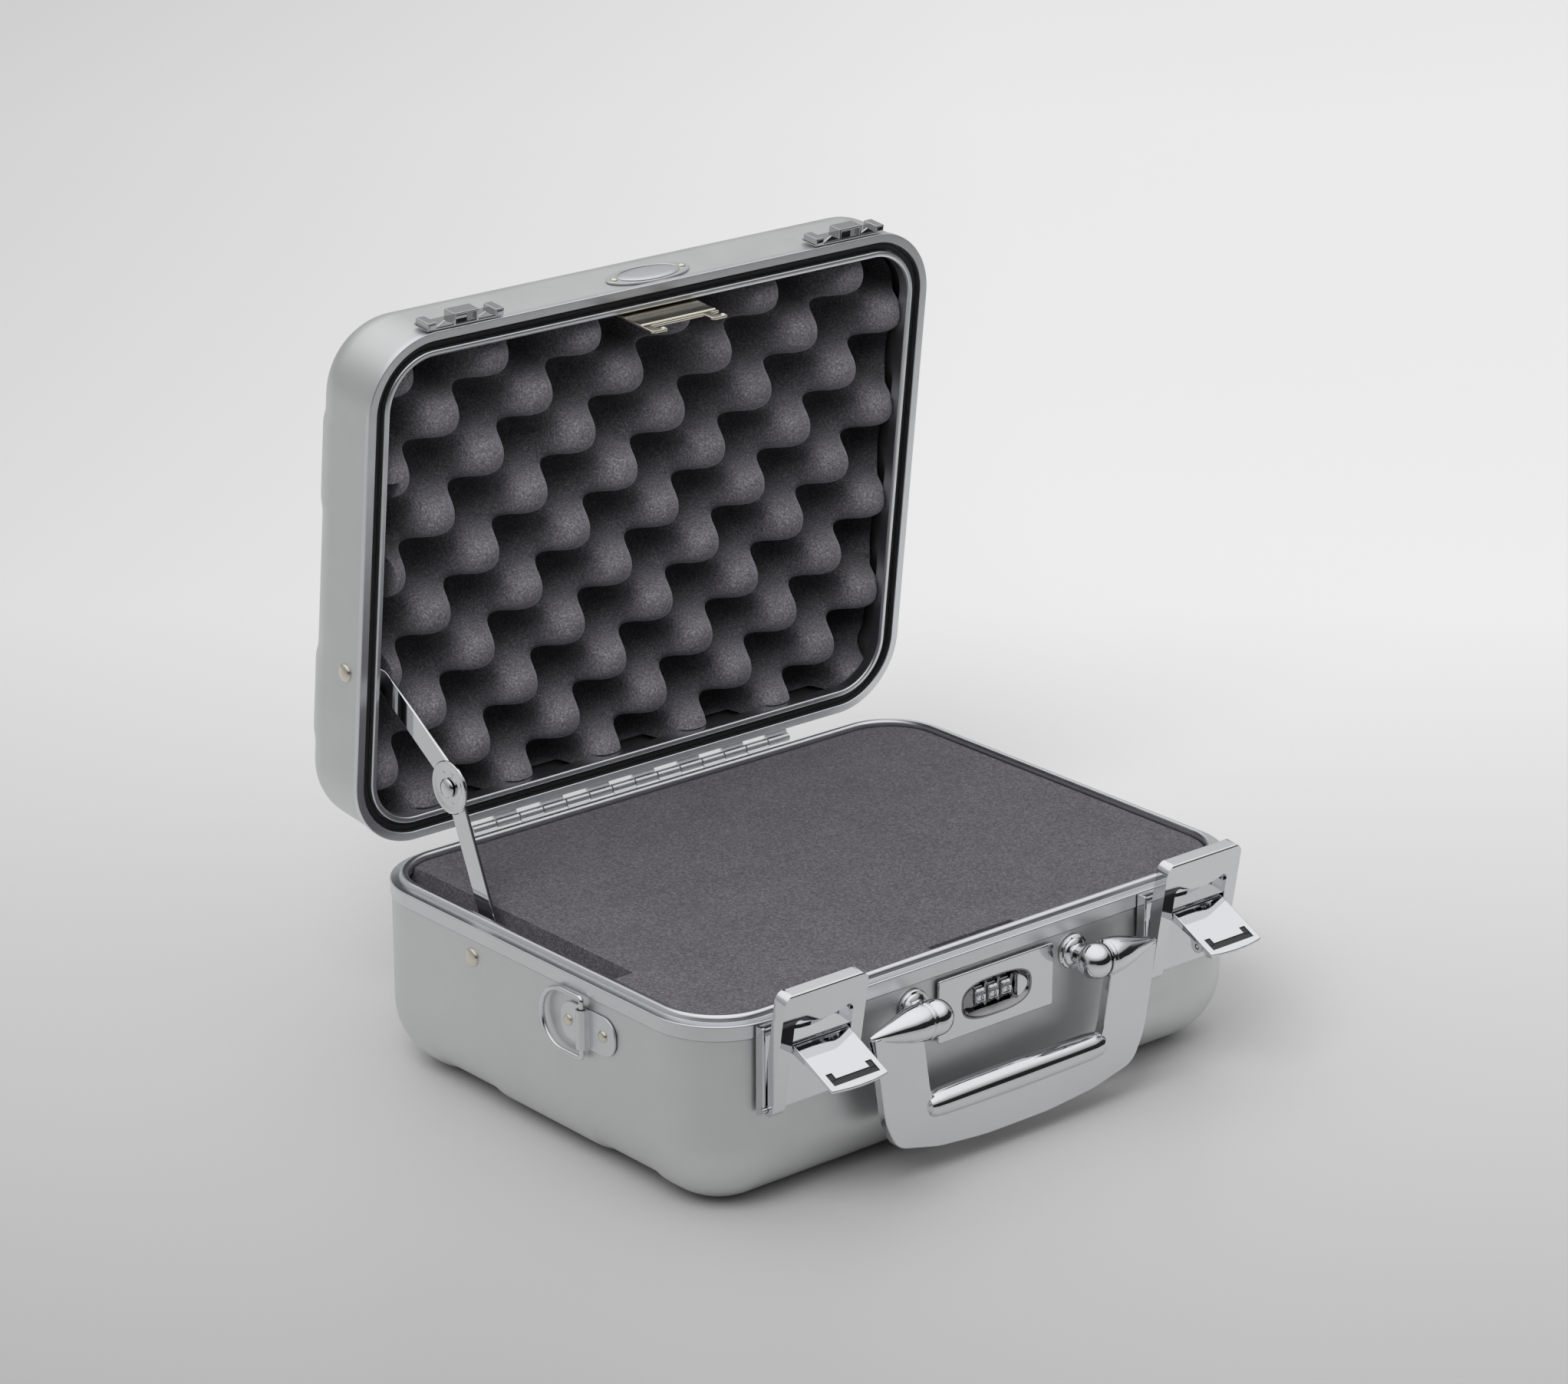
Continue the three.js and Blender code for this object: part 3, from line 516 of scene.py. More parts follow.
def matte(name, colour, rough, scale=900, strength=0.15):
    mat, tree, shader = nodes_of(name)
    fine = noise_node(tree, scale, 3, 0.6)
    tone = ramp(
        tree, fine.outputs["Fac"], [(0.3, grey([c * 0.8 for c in colour])), (0.7, grey(colour))]
    )
    tree.links.new(tone.outputs["Color"], shader.inputs["Base Color"])
    shader.inputs["Roughness"].default_value = rough
    tree.links.new(bump(tree, fine.outputs["Fac"], strength, 0.0002), shader.inputs["Normal"])
    return mat


SATIN = metal("satin_aluminium", (0.72, 0.725, 0.73), 0.42, 0.03, 0.25, 3200, blotch=9)
BRIGHT = metal("bright_aluminium", (0.74, 0.755, 0.775), 0.3, 0.03, 0.1, 2600, blotch=20)
CHROME = metal("chrome_plate", (0.74, 0.745, 0.765), 0.05, 0.03, 0.0, blotch=25)
# chrome painted darker for the catches: a painted dark reflection on their faces
CATCH_CHROME_PAINTED_DARK = metal("catch_chrome_painted_dark", (0.56, 0.565, 0.58), 0.05, 0.03, 0.0, blotch=25)
# chrome painted dark for the lock dish: painted shade and dark reflections standing in for its occluded
# recess
DISH_CHROME_PAINTED_DARK = metal("dish_chrome_painted_dark", (0.3, 0.3, 0.31), 0.07, 0.05, 0.0, blotch=25)
NICKEL = metal("nickel_plate", (0.78, 0.74, 0.64), 0.2, 0.08, 0.08, 2000, blotch=40)
RUBBER = matte("gasket_rubber", (0.022, 0.022, 0.024), 0.6)
# matte black for the lock body and the digits, also used as painted shade in the latch tabs' recesses
BLACK = matte("black_parts_and_slot_shade", (0.03, 0.03, 0.033), 0.5)
BASE_FOAM = foam("base_foam_grey", (0.122, 0.115, 0.129), (0.22, 0.21, 0.232), 1400, 0.12)
# the lid foam gets painted shade that darkens it deeper into the lid's pits
LID_FACE = (0.0, math.sin(OPEN), math.cos(OPEN))
LID_FOAM = foam(
    "lid_foam_grey", (0.185, 0.178, 0.198), (0.38, 0.37, 0.4), 1500, 0.6,
    (LID_FACE, 0.157, 0.184, 0.28),
)


# ---- Camera, floor and light ----
camera = bpy.data.objects.new("camera", bpy.data.cameras.new("camera"))
bpy.context.scene.collection.objects.link(camera)
bpy.context.scene.camera = camera
camera.location = (-1.4717, -1.7075, 1.0098)
camera.rotation_euler = (math.radians(90 - 20.006), 0, math.radians(-40.429))
camera.data.lens = 112.27
camera.data.sensor_width = 36.0
camera.data.clip_start, camera.data.clip_end = 0.05, 100

bpy.context.scene.view_settings.view_transform = "Standard"

floor = new_object("floor", [(-14, -14, 0), (14, -14, 0), (14, 14, 0), (-14, 14, 0)], [(0, 1, 2, 3)])
floor_mat, floor_tree, floor_shader = nodes_of("studio_floor")
place = floor_tree.nodes.new("ShaderNodeTexCoord")
# painted shade: the floor's colour darkens towards the camera and towards the camera's left, standing in
# for the light falling off across the floor
away = along_direction(
    floor_tree, place, (0.65, 0.76, 0), -1.5, 2.0,
    [(0.0, grey(0.26)), (1.0, grey(1.0)), (0.3, grey(0.42)), (0.45, grey(0.64)), (0.62, grey(0.9))],
)
painted_side_shade = along_direction(
    floor_tree, place, (0.76, -0.65, 0), -0.8, 0.8,
    [(0.0, grey(0.74)), (1.0, grey(1.0)), (0.6, grey(0.97))],
)
floor_tree.links.new(multiply(floor_tree, away, painted_side_shade), floor_shader.inputs["Base Color"])
floor_shader.inputs["Roughness"].default_value = 0.4
floor_shader.inputs["Specular IOR Level"].default_value = 0.25
floor.data.materials.append(floor_mat)


# a dark card that only reflections see, so that the chrome has something black to mirror
card_ends = [(-0.47, -0.94), (1.33, -0.22)]
card = new_object(
    "dark_card",
    [(*card_ends[0], 0.0), (*card_ends[1], 0.0), (*card_ends[1], 0.24), (*card_ends[0], 0.24)],
    [(0, 1, 2, 3)],
)
card_mat, card_tree, card_shader = nodes_of("dark_card")
card_tone = noise_node(card_tree, 3, 2, 0.4)
card_ramp = ramp(card_tree, card_tone.outputs["Fac"], [(0.3, grey(0.012)), (0.7, grey(0.02))])
card_tree.links.new(card_ramp.outputs["Color"], card_shader.inputs["Base Color"])
card_shader.inputs["Roughness"].default_value = 0.9
card.data.materials.append(card_mat)
card.visible_camera = card.visible_diffuse = card.visible_shadow = card.visible_transmission = False

key = bpy.data.objects.new("key", bpy.data.lights.new("key", "AREA"))
bpy.context.scene.collection.objects.link(key)
key.data.size, key.data.energy = 1.5, 42
key.location = (-1.7, -0.9, 2.3)
key.rotation_euler = (Vector((0, 0, 0.1)) - key.location).to_track_quat("-Z", "Y").to_euler()
key.visible_glossy = False

world = bpy.data.worlds.new("studio")
bpy.context.scene.world = world
world.use_nodes = True
wt = world.node_tree
background = wt.nodes["Background"]
direction = wt.nodes.new("ShaderNodeTexCoord")
split = wt.nodes.new("ShaderNodeSeparateXYZ")
wt.links.new(direction.outputs["Generated"], split.inputs["Vector"])
sky = ramp(
    wt, split.outputs["Z"], [(0.0, grey(0.36)), (1.0, grey(1.08)), (0.45, grey(0.48)), (0.7, grey(0.97))]
)

# the camera's side of the room is dark up to the edge of the overhead light
dark = wt.nodes.new("ShaderNodeMath")
dark.operation = "MULTIPLY"
for k, (axis, low, high) in enumerate([("Y", -0.35, 0.05), ("Z", 0.3, 0.42)]):
    wt.links.new(map_range(wt, split.outputs[axis], low, high, 1.0, 0.0, "SMOOTHSTEP"), dark.inputs[k])
room = wt.nodes.new("ShaderNodeMix")
room.data_type = "RGBA"
room.inputs["B"].default_value = grey(0.03)
wt.links.new(dark.outputs["Value"], room.inputs["Factor"])
wt.links.new(sky.outputs["Color"], room.inputs["A"])
wt.links.new(room.outputs["Result"], background.inputs["Color"])
background.inputs["Strength"].default_value = 1.0


# ---- Shells ----
def step(t):
    t = np.clip(t, 0, 1)
    return t * t * (3 - 2 * t)


def rib(y, shoulder=9.0):
    """1 on the two pressed bands, 0 between them, with soft shoulders."""
    away = np.abs(np.abs(y) - RIB_Y)
    return 1 - step((away - (RIB_W / 2 - shoulder / 2)) / shoulder)


RIB_EDGES = [s * (RIB_Y + t * RIB_W / 2) for s in (-1, 1) for t in (-1, 1)]
SHOULDERS = [edge + d for edge in RIB_EDGES for d in (-5, -3.5, -2, -1, 0, 1, 2, 3.5, 5)]


def shell(name, rim_z, panel_z, edge, rise):
    """A pressed shell from its rim to its panel, its ribs moved along Z by rise."""
    up = math.copysign(1, rim_z - panel_z)
    case = Case(spread(-140, 140, 20), spread(-97, 97, 9.7, SHOULDERS), 16)
    outer = quarter(INSET, panel_z, edge, up)
    inner = quarter(INSET + WALL, panel_z + up * WALL, edge - WALL, up)
    walls = [0.75, 0.5, 0.25]
    outside = [(CORNER_R, panel_z), (CORNER_R - 0.4 * (CORNER_R - INSET - edge), panel_z)] + outer[::-1]
    outside += [(INSET, rim_z - (rim_z - outer[0][1]) * w) for w in walls]
    outside += [(INSET, rim_z - up * 0.3), (INSET + 0.3, rim_z)]
    inside = [(INSET + WALL - 0.3, rim_z), (INSET + WALL, rim_z - up * 0.3)]
    inside += [(INSET + WALL, rim_z - (rim_z - inner[0][1]) * w) for w in walls[::-1]]
    inside += inner + [(CORNER_R, panel_z + up * WALL)]
    profile = outside + inside

    def pressed(points, inset, k):
        depth = abs(points[0][2] - rim_z) / abs(panel_z - rim_z)
        points[:, 2] += rise * rib(points[:, 1]) * float(step((depth - 0.15) / 0.35))
        return points

    return case.block(name, profile, ("grid", "grid"), pressed)


base_shell = shell("case_base", RIM - 8.3, 0.0, 36.0, RIB_H)
cut(base_shell, plate("hole", ellipse(23.6, 11.0, 0, 73.4), -150, -120, xz, 0.01, 1))
piece(base_shell, "base", SATIN, ["base_shell"], angle=40)
lid_shell = shell("case_lid", RIM + 3.5, RIM + LID, 20.0, RIB_H)
piece(lid_shell, "lid", SATIN, ["lid_shell"], LID_OPEN, angle=40)

# ---- Frames and gasket ----
plain = Case([-140, 0, 140], [-97, 0, 97], 24)


def bead(cx, cz, r, start, end, steps=10):
    """Profile points on a circle; angles in degrees, 0 towards the middle of the case."""
    span = [math.radians(start + (end - start) * k / steps) for k in range(steps + 1)]
    return [(cx + r * math.cos(a), cz + r * math.sin(a)) for a in span]


base_profile = [
    (0.3, RIM - 8.0), (0, RIM - 7.7), (0, RIM - 1.3), *bead(0.7, RIM - 1.3, 0.7, 180, 90, 4),
    (4.3, RIM - 0.6), (4.8, RIM - 0.3), *bead(7.0, RIM + 0.5, 2.1, 180, 0, 14),
    (9.1, RIM - 3.2), (4.6, RIM - 3.2), (4.6, RIM - 8), (4.4, RIM - 8), (4.4, RIM - 12.5),
    (2.8, RIM - 12.5), (2.8, RIM - 8),
]
piece(plain.closed("base_frame_rail", base_profile), "base", BRIGHT, ["base_frame"])
lid_profile = [
    (2.8, RIM + 3.2), (0.3, RIM + 3.2), (0, RIM + 2.9), (0, RIM + 0.5),
    *bead(0.5, RIM + 0.5, 0.5, 180, 270, 4),
    (4.3, RIM), (4.6, RIM + 0.3), (4.6, RIM + 5.2), (9.4, RIM + 5.2), (9.4, RIM + 1.4),
    *bead(10.6, RIM + 1.4, 1.2, 180, 270, 5), *bead(11.4, RIM + 1.6, 1.4, 270, 360, 5),
    (12.8, RIM + 7.0), (4.4, RIM + 7.0), (4.4, RIM + 9.6), (2.8, RIM + 9.6),
]
lid_rail = plain.closed("lid_frame_rail", lid_profile)
piece(lid_rail, "lid", BRIGHT, ["lid_frame"], LID_OPEN)
gasket_profile = [
    (4.9, RIM + 4.9), (4.9, RIM + 3.6), *bead(7.0, RIM + 3.9, 1.0, 200, 340, 8),
    (9.1, RIM + 3.6), (9.1, RIM + 4.9),
]
seal = plain.closed("lid_gasket_seal", gasket_profile)
piece(seal, "lid", RUBBER, ["lid_gasket"], LID_OPEN)

# ---- Foam ----
foam_case = Case(spread(-140, 140, 14), spread(-97, 97, 9.7), 14)
foam_profile = [
    (38, RIM - 0.5), (24, RIM - 0.5),
    *[
        (10.7 - 1.2 * u, RIM - 1.7 + 1.2 * v)
        for u, v in ((0, 1), (0.38, 0.92), (0.71, 0.71), (0.92, 0.38), (1, 0))
    ],
    (9.5, RIM - 3.8), (4.8, RIM - 4.2), (4.8, 40), *quarter(4.8, 4.2, 33, 1, 5)[1:],
]
base_foam = foam_case.block("base_foam_bed", foam_profile, ("grid", "face"))
cut(
    base_foam,
    box("slot", (-190, -154.2), (-52, 129), (66, 110), 1.5),
    box("pocket", (-29, 25), (-150, -119.0), (52, 110), 0.8),
)
piece(base_foam, "base", BASE_FOAM, ["base_foam"], angle=45)

PIT_X, PIT_S = 57.3, 52.2
PHASE_X, PHASE_S = 16.0, 219.5
PEAK, PIT = 3.4, 36.0


def lid_surface(x, y):
    """Depth of the convoluted foam behind the lid's face; y as with the lid closed."""
    s = D / 2 - y
    wave = np.cos(2 * np.pi * (x - PHASE_X) / PIT_X) * np.cos(2 * np.pi * (s - PHASE_S) / PIT_S)
    shaped = np.tanh(1.75 * wave + 0.12) / np.tanh(1.87)
    return (PEAK + PIT) / 2 + (PIT - PEAK) / 2 * shaped


def lid_foam():
    case = Case(spread(-140, 140, 1.4), spread(-97, 97, 1.4), 16)
    tops = [(i, 0) for i in [38 - 1.4 * k for k in range(18)] + [13.3, 13.0, 12.2, 9, 4.8]]
    back = [(4.8, RIM + 28)] + quarter(4.8, RIM + LID - 2.2, 17, -1, 5)[1:]

    def shaped(points, inset, k):
        if k >= len(tops):
            return points
        depth = lid_surface(points[:, 0], points[:, 1])
        if inset < 13.2:
            depth = np.maximum(depth, 7.6)
        slot = (points[:, 0] < -155.4) & (points[:, 1] > -58) & (points[:, 1] < 60)
        depth = np.where(slot, np.maximum(depth, 37.5), depth)
        keeper = (np.abs(points[:, 0] + 1) < 29) & (points[:, 1] < -118)
        depth = np.where(keeper, np.maximum(depth, 12), depth)
        points[:, 2] = RIM + depth
        return points

    return case.block("lid_foam_eggs", tops + back, ("grid", "face"), shaped)


piece(lid_foam(), "lid", LID_FOAM, ["lid_foam"], LID_OPEN, angle=75)

# ---- Small tools for the hardware ----
def merge(obj, *others):
    """Joins closed shapes into one mesh without cutting them."""
    bm = bmesh.new()
    bm.from_mesh(obj.data)
    for other in others:
        bm.from_mesh(other.data)
        bpy.data.objects.remove(other)
    bm.to_mesh(obj.data)
    bm.free()
    return obj


def prism(name, outline, span, edge=0.0, segments=3):
    """A (y, z) outline drawn out along X."""
    return plate(name, outline, min(span), max(span), yz, edge, segments)


def rod(name, axis, radius, span, centre, edge=0.0, sides=32):
    low, high = sorted(span)
    profile = [(low, radius - edge), (low + edge, radius), (high - edge, radius), (high, radius - edge)]
    if not edge:
        profile = [(low, radius), (high, radius)]
    where = {"x": (0, *centre), "y": (centre[0], 0, centre[1]), "z": (*centre, 0)}[axis]
    return revolved(name, profile, where, axis, sides)


def sphere(name, radius, centre, sides=40):
    steps = sides // 2
    angles = [math.pi * k / steps for k in range(steps + 1)]
    profile = [(-radius * math.cos(a), radius * math.sin(a)) for a in angles]
    return revolved(name, profile, centre, "x", sides)


def keep(node, material):
    """A CAD node shown as it is, in a better finish."""
    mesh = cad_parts[node].data
    mesh.materials.clear()
    mesh.materials.append(material)


def superellipse(a, b, power=2.8, cu=0.0, cv=0.0, n=72):
    out = []
    for k in range(n):
        c, s = math.cos(2 * math.pi * k / n), math.sin(2 * math.pi * k / n)
        u = a * math.copysign(abs(c) ** (2 / power), c)
        v = b * math.copysign(abs(s) ** (2 / power), s)
        out.append((cu + u, cv + v))
    return out


# ---- Piano hinge ----
HINGE_HALF = 105.0
HINGE_RIVETS = (-80.0, 0.0, 80.0)


def hinge_leaf(name, side, body, place, node):
    near, far = HINGE_Z + side * 2.2, HINGE_Z + side * 20
    leaf = box(name, (-HINGE_HALF, HINGE_HALF), (135.3, 136.5), (near, far), 0.35, 2)
    for k in range(0 if side < 0 else 1, KNUCKLES, 2):
        low = -HINGE_HALF + KNUCKLE_PITCH * k + 0.3
        span = (low, low + KNUCKLE_PITCH - 0.6)
        barrel = rod("barrel", "x", 2.3, span, (HINGE_Y, HINGE_Z), 0.3, 28)
        curl = prism(
            "curl",
            [(135.3, HINGE_Z + side * 4.2), (136.5, HINGE_Z + side * 4.2), (138.3, HINGE_Z + side * 2.0),
             (139.6, HINGE_Z + side * 1.0), (138.0, HINGE_Z + side * 0.6), (135.3, HINGE_Z + side * 2.6)],
            span,
        )
        merge(leaf, barrel, curl)
    piece(leaf, body, BRIGHT, [node], place)
    for k, x in enumerate(HINGE_RIVETS):
        head = dome("rivet", (x, 0, HINGE_Z - 0.6 + side * 16), "y", 3.0, 1.3, 136.6)
        shank = rod("shank", "y", 1.5, (131.4, 137), (x, HINGE_Z - 0.6 + side * 16))
        tail = dome("tail", (x, 0, HINGE_Z - 0.6 + side * 16), "y", 2.7, -0.9, 132.3)
        rivet = merge(head, shank, tail)
        rivet.name = f"{node}_head_{k + 1}"
        owner = node.replace("_leaf", f"_rivet_{k + 1}")
        piece(rivet, body, BRIGHT, [owner], place)


hinge_leaf("hinge_leaf_low", -1, "base", None, "hinge_base_leaf")
hinge_leaf("hinge_leaf_high", 1, "lid", LID_OPEN, "hinge_lid_leaf")
keep("hinge_pin", BRIGHT)

# ---- Elbow stay ----
FOOT, ELBOW, HEAD = (44.0, 82.6), (76.5, 157.5), (142.397, 201.402)
LID_RIVET = (40.2, 113.7)
DISC_X = -164.1


def strap(name, start, end, eye_x, main_x, end_r, body, node):
    """A pressed link with an eye at its start, a joggle, and a round end at the elbow."""
    length = math.dist(start, end)
    stations = [-6 + 6 * (1 - math.cos(math.pi / 2 * k / 7)) for k in range(8)]
    stations += spread(1, length - end_r - 1, 2.0)
    stations += [length + end_r * math.sin(math.pi / 2 * k / 8) for k in range(-6, 9)]
    rings = []
    for u in sorted(set(round(s, 4) for s in stations)):
        if u < 0:
            half = math.sqrt(max(36 - u * u, 0.0))
        elif u > length - end_r:
            swell = math.sqrt(max(end_r**2 - (u - length) ** 2, 0.0))
            half = max(swell, 6.0 if u < length else 0.0)
        else:
            half = 6.0
        half = max(half, 0.35)
        middle = eye_x + (main_x - eye_x) * float(step((u - 4) / 6.5))
        edge = min(0.45, half * 0.9)
        section = rect(-half, half, -0.8, 0.8, edge, 3)
        rings.append([(middle + v, u, w) for w, v in section])
    link = lofted(name, rings)
    turn = Matrix.Rotation(math.atan2(end[1] - start[1], end[0] - start[0]), 4, "X")
    place = Matrix.Translation((0, *start)) @ turn
    for u in (0, length):
        cut(link, rod("bore", "x", 2.4, (-200, -140), (u, 0)))
    piece(link, body, CHROME, [node], place, angle=28)


strap("stay_link_low", FOOT, ELBOW, -167.4, -162.3, 9.0, "stay_lower", "stay_lower_link")
strap("stay_link_high", HEAD, ELBOW, -163.9, -160.4, 8.0, "stay_upper", "stay_upper_link")

cup = [(-0.45, 3.4), (-0.45, 9.6), (-0.6, 10.5), (-0.85, 11.2), (-0.9, 12.3), (-0.8, 13.1), (-0.4, 13.5),
       (0.3, 13.4), (0.7, 12.9), (0.7, 3.4)]
disc = revolved("friction_disc", cup, (DISC_X, *ELBOW), "x", 72)
clean(disc)
cut(disc, rod("bore", "x", 2.4, (-180, -150), ELBOW))
for turn in (60, 110, 165, 250, 320):
    a = math.radians(turn)
    at = (DISC_X, ELBOW[0] + 8 * math.cos(a), ELBOW[1] + 8 * math.sin(a))
    merge(disc, dome("stud", at, "x", 1.0, -0.4, -0.4))
piece(disc, "stay_lower", CHROME, ["stay_friction_disc"])

button = revolved(
    "elbow_rivet",
    [(-0.3, 2.0), (-0.35, 4.4), (-0.9, 4.9), (-1.5, 4.8), (-2.3, 4.0), (-2.8, 2.6), (-3.0, 0.0)],
    (DISC_X - 0.6, *ELBOW), "x", 40,
)
shank = rod("shank", "x", 2.0, (DISC_X - 1.6, -158.4), ELBOW)
merge(button, shank, dome("tail", (-159.3, *ELBOW), "x", 3.6, 1.1))
piece(button, "stay_lower", CHROME, ["stay_elbow_rivet"])


def wall_rivet(name, at, tip, body, node, place=None):
    head = dome(name, (-177.5, *at), "x", 4.7, -1.7)
    collar = rod("collar", "x", 3.6, (-175.3, tip - 1.0), at, 0.2)
    tail = dome("tail", (tip - 0.2, *at), "x", 3.3, 1.1)
    merge(head, rod("shank", "x", 2.0, (-178, tip), at), collar, tail)
    piece(head, body, NICKEL, [node], place)


wall_rivet("stay_foot_rivet", FOOT, -166.1, "base", "stay_base_rivet")
wall_rivet("stay_head_rivet", LID_RIVET, -162.5, "lid", "stay_lid_rivet", LID_OPEN)

# ---- Latches ----
def latch(side, word):
    x = side * LATCH_X
    half = 27.5
    inner = half - 1.5
    # tray with side flanges
    back = box("tray", (x - half, x + half), (-136.8, -135.4), (54, 99), 0.3, 2)
    cheeks = []
    for s in (-1, 1):
        outline = rounded(
            [(-135.4, 54), (-140.8, 55.2), (-140.8, 99), (-135.4, 99)], [0.4, 2.4, 1.2, 0.4], 6
        )
        cheeks.append(prism("cheek", outline, (x + s * half, x + s * inner), 0.3, 2))
    weld(back, *cheeks)
    cut(back, rod("bore", "x", 1.5, (x - 40, x + 40), LEVER_PIN))
    back.name = f"latch_tray_{word}_plate"
    piece(back, "base", CHROME, [f"latch_tray_{word}"])
    pins = [rod("pin", "x", 1.2, (x + s * 17.9, x + s * 27.9), LEVER_PIN, 0.3) for s in (-1, 1)]
    pins[0].name = f"latch_pin_{word}_stubs"
    piece(merge(*pins), "base", CHROME, [f"latch_pin_{word}"])

    # lever: a thick plate with a round foot, hollow behind, with a slope above the tab
    front = rounded(
        [(x - 25.4, 50), (x + 25.4, 50), (x + 25.4, 119.5), (x - 25.4, 119.5)], [0, 0, 5.0, 5.0], 8
    )
    lever = plate(f"latch_lever_{word}_plate", front, -150, -130, xz, 0.0, 1)
    side_view = rounded(
        [(-144.8, 54.6), (-137.3, 54.6), (-137.3, 119.5), (-144.8, 119.5)], [3.7, 3.4, 0.6, 1.1], 8
    )
    boolean(lever, "INTERSECT", prism("side", side_view, (x - 30, x + 30)))
    window = rounded(
        [(x - 17.8, 40), (x - 17.8, 106.3), (x - 12.5, 104.0), (x - 6, 102.4), (x, 101.9), (x + 6, 102.4),
         (x + 12.5, 104.0), (x + 17.8, 106.3), (x + 17.8, 40)],
        [0, 2.6, 4, 4, 4, 4, 4, 2.6, 0], 6,
    )
    pocket = box("pocket", (x - 23.4, x + 23.4), (-142.6, -130), (63, 117), 1.0, 2)
    cut(lever, pocket, plate("window", window, -155, -130, xz, 0.0, 1))
    cut(lever, rod("bore", "x", 1.5, (x - 40, x + 40), LEVER_PIN))
    bevel(lever, 0.55, 3, 35)
    slope_side = rounded(
        [(-144.4, 94.0), (-143.6, 92.9), (-137.2, 99.3), (-137.2, 100.4), (-138.0, 100.4)], 0.2, 3
    )
    ears = [
        box("ear", (x + s * 17.8, x + s * 21.8), (-144.0, -138.8), (86, 95), 0.5, 2) for s in (-1, 1)
    ]
    merge(lever, *ears)
    lever_body = f"latch_lever_body_{word}"
    piece(lever, lever_body, CHROME, [f"latch_lever_{word}"], LEVER_OUT)
    slope = prism(f"latch_lever_{word}_slope", slope_side, (x - 19.5, x + 19.5))
    piece(slope, lever_body, CHROME, [], LEVER_OUT)
    keep(f"latch_tab_pin_{word}", CHROME)

    # tab, drawn folded down into the lever
    tip = [(x + 17.2 * t, 57.6 - 1.5 * (1 - t * t)) for t in (-1, -0.66, -0.33, 0, 0.33, 0.66, 1)]
    outline = rounded(tip + [(x + 17.2, 91.0), (x - 17.2, 91.0)], [1.2, 9, 9, 9, 9, 9, 1.2, 0.9, 0.9], 4)
    tab = plate(f"latch_tab_{word}_paddle", outline, -144.8, -142.9, xz, 0.55, 4)
    arms = [box("arm", (x + s * 10.2, x + s * 13.8), (-146, -143.9), (60.2, 67.5)) for s in (-1, 1)]
    foot = box("foot", (x - 13.8, x + 13.8), (-146, -143.9), (60.2, 63.9))
    cut(tab, weld(foot, *arms))
    bevel(tab, 0.15, 2, 50)
    hub = rod("hub", "x", 2.5, (x - 17.2, x + 17.2), TAB_PIN, 0.4, 36)
    flange_side = rounded([(-143.2, 64), (-143.2, 92), (-140.2, 91), (-140.6, 86)], [0.3, 0.5, 1.5, 3], 4)
    flanges = [
        prism("flange", flange_side, (x + s * 17.0, x + s * 15.9), 0.2, 1) for s in (-1, 1)
    ]
    weld(tab, hub, *flanges)
    cut(tab, rod("bore", "x", 1.5, (x - 40, x + 40), TAB_PIN))
    tab_body = f"latch_tab_body_{word}"
    piece(tab, tab_body, CHROME, [f"latch_tab_{word}"], TAB_OUT)
    # painted shade: a black sheet at the floor of the bracket-shaped recess stands in for the shade of a
    # dark slot
    slot_shade_sheet = box(f"latch_tab_{word}_inlay", (x - 13.7, x + 13.7), (-144.15, -143.8), (60.3, 63.8))
    for s in (-1, 1):
        merge(slot_shade_sheet, box("arm", (x + s * 10.3, x + s * 13.7), (-144.15, -143.8), (63.0, 67.4)))
    piece(slot_shade_sheet, tab_body, BLACK, [], TAB_OUT)

    # catch on the lid
    base = box("catch", (x - 22.8, x + 22.8), (-136.8, -135.4), (100.9, 112), 0.35, 2)
    parts = []
    for s in (-1, 1):
        parts.append(box("end", (x + s * 22.8, x + s * 17.6), (-139.6, -135.6), (100.7, 111), 0.5, 3))
        parts.append(box("end_face", (x + s * 22.1, x + s * 18.3), (-139.0, -136.0), (100.4, 103), 0.3, 2))
        ramp_side = [(16.8, -135.6), (16.8, -136.8), (12.2, -139.4), (7.4, -137.2), (7.4, -135.6)]
        ramp_side = rounded([(x + s * u, y) for u, y in ramp_side], [0.2, 0.5, 0.5, 0.5, 0.2], 3)
        parts.append(plate("ramp", ramp_side, 101.2, 102.4, xy, 0.2, 2))
    arch = box("arch", (x - 7.5, x + 7.5), (-142.0, -135.6), (100.7, 109))
    cut(arch, box("throat", (x - 6.1, x + 6.1), (-140.8, -130), (90, 120)))
    bevel(arch, 0.4, 3, 40)
    parts.append(arch)
    parts.append(box("block", (x - 4.4, x + 2.6), (-139.4, -135.6), (103.4, 108.6), 0.4, 3))
    merge(base, *parts)
    base.name = f"lid_catch_{word}_plate"
    # the catch's chrome is painted darker, standing in for the dark reflections on its faces
    piece(base, "lid", CATCH_CHROME_PAINTED_DARK, [f"lid_catch_{word}"], LID_OPEN)


latch(-1, "left")
latch(1, "right")

# ---- Carrying handle ----
HY, HZ = -150.5, 80.5


